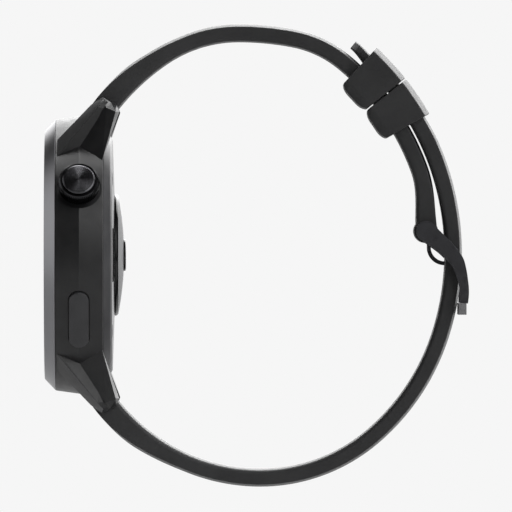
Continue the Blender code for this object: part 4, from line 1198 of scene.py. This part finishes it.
def spline(points, values, count=6):
    """A smooth path through points, with a value for each, by the usual cubic between neighbours."""
    path, out = [], []
    for k in range(len(points) - 1):
        before, after = points[max(0, k - 1)], points[min(len(points) - 1, k + 2)]
        a, b = points[k], points[k + 1]
        slope_a, slope_b = (b - before) / 2, (after - a) / 2
        for i in range(count):
            t = i / count
            h = (2 * t**3 - 3 * t**2 + 1, t**3 - 2 * t**2 + t, -2 * t**3 + 3 * t**2, t**3 - t**2)
            path.append(a * h[0] + slope_a * h[1] + b * h[2] + slope_b * h[3])
            out.append(values[k] + (values[k + 1] - values[k]) * t)
    return path + [points[-1]], out + [values[-1]]


BAR_OUT = 51.4
BAR_IN = 50.2
BAR_TOP = -7.25
BAR_END = -9.0
ARM_IN = 10.35
ARM_OUT = 11.65

EYE_R = 1.5
ARM_STEPS = [
    (0, 0), (1.3, -1.1), (3.0, -2.6), (4.5, -4.3), (5.1, -5.6), (5.55, -7.4), (5.8, -9.2), (5.7, -10.9)
]
ARM_WIDTHS = [2 * EYE_R, 2.7, 2.35, 2.15, 1.85, 1.55, 1.35, 1.25]

ROUND_END_STEPS = 24
NOTCH_HALF = 1.3

arm_path, arm_widths = spline([PIN + Vector(step) for step in ARM_STEPS], ARM_WIDTHS)
way = arm_path[1] - arm_path[0]
back_turn = math.degrees(math.atan2(way.y, way.x)) - 90
turns = [back_turn - 180 * k / ROUND_END_STEPS for k in range(1, ROUND_END_STEPS)]
round_end = [tuple(PIN + Vector(polar(EYE_R, turn))) for turn in turns]
arm = stroke(arm_path, arm_widths) + round_end
bar_outline = [(BAR_OUT, BAR_TOP), (BAR_IN, BAR_TOP), (BAR_IN, BAR_END), (BAR_OUT, BAR_END)]
arms = [side_prism(arm, ARM_IN, ARM_OUT), side_prism(arm, -ARM_OUT, -ARM_IN)]
buckle = combined(side_prism(bar_outline, -ARM_OUT + 0.05, ARM_OUT - 0.05), arms, "UNION")
notch = [
    (BAR_OUT - 0.6, BAR_TOP + 1), (BAR_OUT + 1, BAR_TOP + 1),
    (BAR_OUT + 1, BAR_END - 1), (BAR_OUT - 0.6, BAR_END - 1),
]
buckle = combined(buckle, [side_prism(notch, -NOTCH_HALF, NOTCH_HALF)], "DIFFERENCE")
buckle = rounded(buckle, 0.14, 2, 50)
body = finished("buckle_body", buckle, BUCKLE_METAL, "buckle", ["buckle_frame"])
# Each flat end face of the bar gets a paler, duller finish, a painted highlight for the light that end catches.
body.data.materials.append(END_HIGHLIGHT_METAL)
highlight_faces = 0
for face in body.data.polygons:
    spot = LAY_DOWN @ face.center
    if abs(face.normal.x) > 0.9 and BAR_END < spot.y < BAR_TOP + 0.5 and abs(spot.x) > ARM_OUT - 0.1:
        face.material_index = 1
        highlight_faces += 1
print("painted highlight faces:", highlight_faces)
# The pin is riveted into each arm from inside, so the eyes are smooth outside.
PIN_R = 0.7
pin_rod = side_rod(PIN, PIN_R, ARM_IN + 0.1, 48)
finished("buckle_cross_pin", pin_rod, BUCKLE_METAL, "buckle", ["buckle_pin"])

# %% [markdown]
# ## Tongue
# The tongue is bent from strip round the pin. Its side line goes down, through two quarter bends and along to
# the bar, and is given a strip's thickness and pushed through its width. A rod joined on and bored makes its
# eye.

# %% Tongue
TONGUE_T, TONGUE_HALF, TONGUE_EYE_R = 0.6, 1.1, 1.35
FIRST_BEND_R, SECOND_BEND_R = 2.38, 2.96
BEND_STEPS = 16

bend = PIN + Vector((2.88, -2.5))
low_bend = bend - Vector((0, FIRST_BEND_R + SECOND_BEND_R))
tongue_path = [Vector((bend.x - FIRST_BEND_R, PIN.y - 0.9))]
for k in range(BEND_STEPS + 1):
    tongue_path.append(bend + Vector(polar(FIRST_BEND_R, 180 + 90 * k / BEND_STEPS)))
for k in range(1, BEND_STEPS + 1):
    tongue_path.append(low_bend + Vector(polar(SECOND_BEND_R, 90 - 90 * k / BEND_STEPS)))
tongue_path.append(Vector((BAR_OUT - 0.22, BAR_END + 0.4)))
tongue = side_prism(stroke(tongue_path, [TONGUE_T] * len(tongue_path)), -TONGUE_HALF, TONGUE_HALF)
tongue = combined(tongue, [side_rod(PIN, TONGUE_EYE_R, TONGUE_HALF, 48)], "UNION")
tongue = combined(tongue, [side_rod(PIN, PIN_BORE_R, 2)], "DIFFERENCE")
tongue = rounded(tongue, 0.12, 2, 50)
finished("buckle_prong", tongue, BUCKLE_METAL, "tongue", ["buckle_tongue"])

# %% [markdown]
# ## Parts that keep their plain shape
# The parts inside the case, the screws, pins and spring bars have the right shape already. Each gets the
# finish of what it is made of.

# %% Finishes for the other parts
def solder_resist():
    finish, tree, shader = new_finish("green solder resist", "#0f4a2c", 0.35, Coat_Weight=0.4)
    tinted(tree, shader, "#0f4a2c", "#176038", 1.2)
    grain(tree, shader, 0.6, 0.01)
    return finish


def dull_rubber():
    finish, tree, shader = new_finish("nitrile rubber", "#1c1c1c", 0.7)
    tinted(tree, shader, "#1a1a1a", "#242424", 1.0)
    grain(tree, shader, 0.2, 0.01)
    return finish


def led_resin():
    finish, tree, shader = new_finish("cast clear resin", "#cfe6c0", 0.15, IOR=1.5, Coat_Weight=0.5)
    mottled(tree, shader, "Roughness", 0.1, 0.25, 0.6)
    return finish


TINNED = satin_metal("tinned steel", "#c4c4c0", 0.3)
FOIL = satin_metal("laminated foil", "#b2b4b8", 0.35, 1.5)
BY_SLOT = {
    "case_polymer": NYLON, "coated_metal": CROWN_METAL, "strap_silicone": SILICONE, "cover_glass": GLASS,
    "sensor_glass": RESIN, "black_gloss": GLOSS, "bare_steel": STEEL, "seal_rubber": dull_rubber(),
    "board_laminate": solder_resist(), "tinned_steel": TINNED, "cell_foil": FOIL, "gold_plate": GOLD,
    "led_resin": led_resin(),
}
for part in frame["record"]["subparts"]:
    obj = frame["nodes"][part["node"]]
    for slot_index in range(max(1, len(obj.material_slots))):
        if not obj.material_slots:
            obj.data.materials.append(None)
        obj.material_slots[slot_index].material = BY_SLOT[part["material_slot"]]

# %% [markdown]
# ## Studio
# The watch is shown in a plain bright studio. Soft round patches of light stand behind and above it, with two
# small strong ones for the crown's cap, and it is darker towards the lens, where the camera and its operator
# stand. The surround is painted by direction on the world, and the lens itself sees one even pale grey. One
# more softbox above gives the soft shadow on the floor.

# %% Studio
# Each patch is (its direction, where it fades out and where it is full as cosines of the angle, its strength).
# Minus X is away from the lens, minus Y is before the display and plus Z is up.
PATCHES = [
    ((-1.0, 0.25, 0.0), 0.76, 0.93, 0.95),
    ((-0.95, -0.05, 0.34), 0.9, 0.99, 2.6),
    ((-0.65, 0.35, 0.65), 0.72, 0.96, 3.4),
    ((-0.4, 0.05, 1.0), 0.86, 0.985, 3.0),
    ((-0.25, -0.95, 0.15), 0.84, 0.99, 1.4),
    ((-0.1, 0.66, 0.75), 0.93, 0.99, 2.2),
    ((-0.6, 0.8, 0.0), 0.7, 0.95, 1.0),
    ((0.64, 0.66, 0.38), 0.8, 0.96, 2.3),
    ((0.02, 0.0, 1.0), 0.98, 0.998, 14.0),
    ((0.75, 0.33, 0.57), 0.985, 0.998, 3.0),
]
LEAST_LIGHT = 0.035


def add_studio():
    world = bpy.data.worlds.new("studio")
    bpy.context.scene.world = world
    world.use_nodes = True
    tree = world.node_tree
    tree.nodes.clear()
    place = add_node(tree, "ShaderNodeTexCoord")

    def glow(direction, low, high, strength):
        """Light from a soft round patch of the surround, between two cosines of the angle from a direction."""
        aim = Vector(direction).normalized()
        dot = add_node(
            tree, "ShaderNodeVectorMath", {0: place.outputs["Generated"], 1: aim}, operation="DOT_PRODUCT"
        )
        limits = {"From Min": low, "From Max": high, "To Min": 0.0, "To Max": strength}
        spread = add_node(
            tree, "ShaderNodeMapRange", {"Value": dot.outputs["Value"], **limits},
            interpolation_type="SMOOTHSTEP",
        )
        return spread.outputs["Result"]

    parts = [glow(*patch) for patch in PATCHES]
    total = add_node(tree, "ShaderNodeMath", {0: parts[0], 1: LEAST_LIGHT}, operation="ADD").outputs["Value"]
    for part in parts[1:]:
        total = add_node(tree, "ShaderNodeMath", {0: total, 1: part}, operation="ADD").outputs["Value"]
    surround = add_node(tree, "ShaderNodeBackground", {"Strength": total})
    seen = add_node(tree, "ShaderNodeBackground", {"Color": linear("#f6f6f6"), "Strength": 1.0})
    path = add_node(tree, "ShaderNodeLightPath")
    mix = add_node(
        tree, "ShaderNodeMixShader",
        {0: path.outputs["Is Camera Ray"], 1: surround.outputs["Background"], 2: seen.outputs["Background"]},
    )
    add_node(tree, "ShaderNodeOutputWorld", {"Surface": mix.outputs["Shader"]})


add_studio()


def softbox(name, place, aim, size, watts):
    light = bpy.data.lights.new(name, "AREA")
    light.shape = "RECTANGLE"
    light.size, light.size_y = size
    light.energy = watts
    made = bpy.data.objects.new(name, light)
    made.location = place
    made.rotation_euler = (Vector(aim) - Vector(place)).to_track_quat("-Z", "Y").to_euler()
    bpy.context.scene.collection.objects.link(made)


MIDDLE = Vector((0.0, 0.0196, 0.0))
softbox("light_above", (-0.35, 0.1, 0.8), MIDDLE, (0.5, 0.5), 1.5)

FLOOR_Z = -0.12
floor_mesh = bmesh.new()
floor_place = Matrix.Translation((0, 0.02, FLOOR_Z))
bmesh.ops.create_grid(floor_mesh, x_segments=1, y_segments=1, size=0.8, matrix=floor_place)
floor = as_object(floor_mesh, "floor")
floor.data.materials.append(new_finish("pale paper", "#9a9a9a", 0.8)[0])
print(len(PATCHES), "patches of light round the watch, floor", f"{-FLOOR_Z * 1000:.0f} mm below its middle")

# %% [markdown]
# ## Camera
# A long lens far to the side of the watch, level with its middle, so that the loop of the strap shows as a
# clean line with only a sliver of its inside.

# %% Camera
LENS_DISTANCE = 3.0
VIEW_WIDTH = 0.0775
VIEW_MIDDLE = (0.01965, -0.00014)
SENSOR_WIDTH = 36.0
camera_data = bpy.data.cameras.new("side_lens")
camera_data.sensor_width = SENSOR_WIDTH
camera_data.lens = SENSOR_WIDTH * LENS_DISTANCE / VIEW_WIDTH
camera_data.clip_start, camera_data.clip_end = 0.05, 20.0
camera = bpy.data.objects.new("camera", camera_data)
camera.location = (LENS_DISTANCE, *VIEW_MIDDLE)
camera.rotation_euler = (math.pi / 2, 0.0, math.pi / 2)
bpy.context.scene.collection.objects.link(camera)
bpy.context.scene.camera = camera
bpy.context.scene.view_settings.view_transform = "Standard"
print(f"lens {camera_data.lens:.0f} mm, {LENS_DISTANCE:.1f} m away, view {VIEW_WIDTH * 1000:.1f} mm wide")
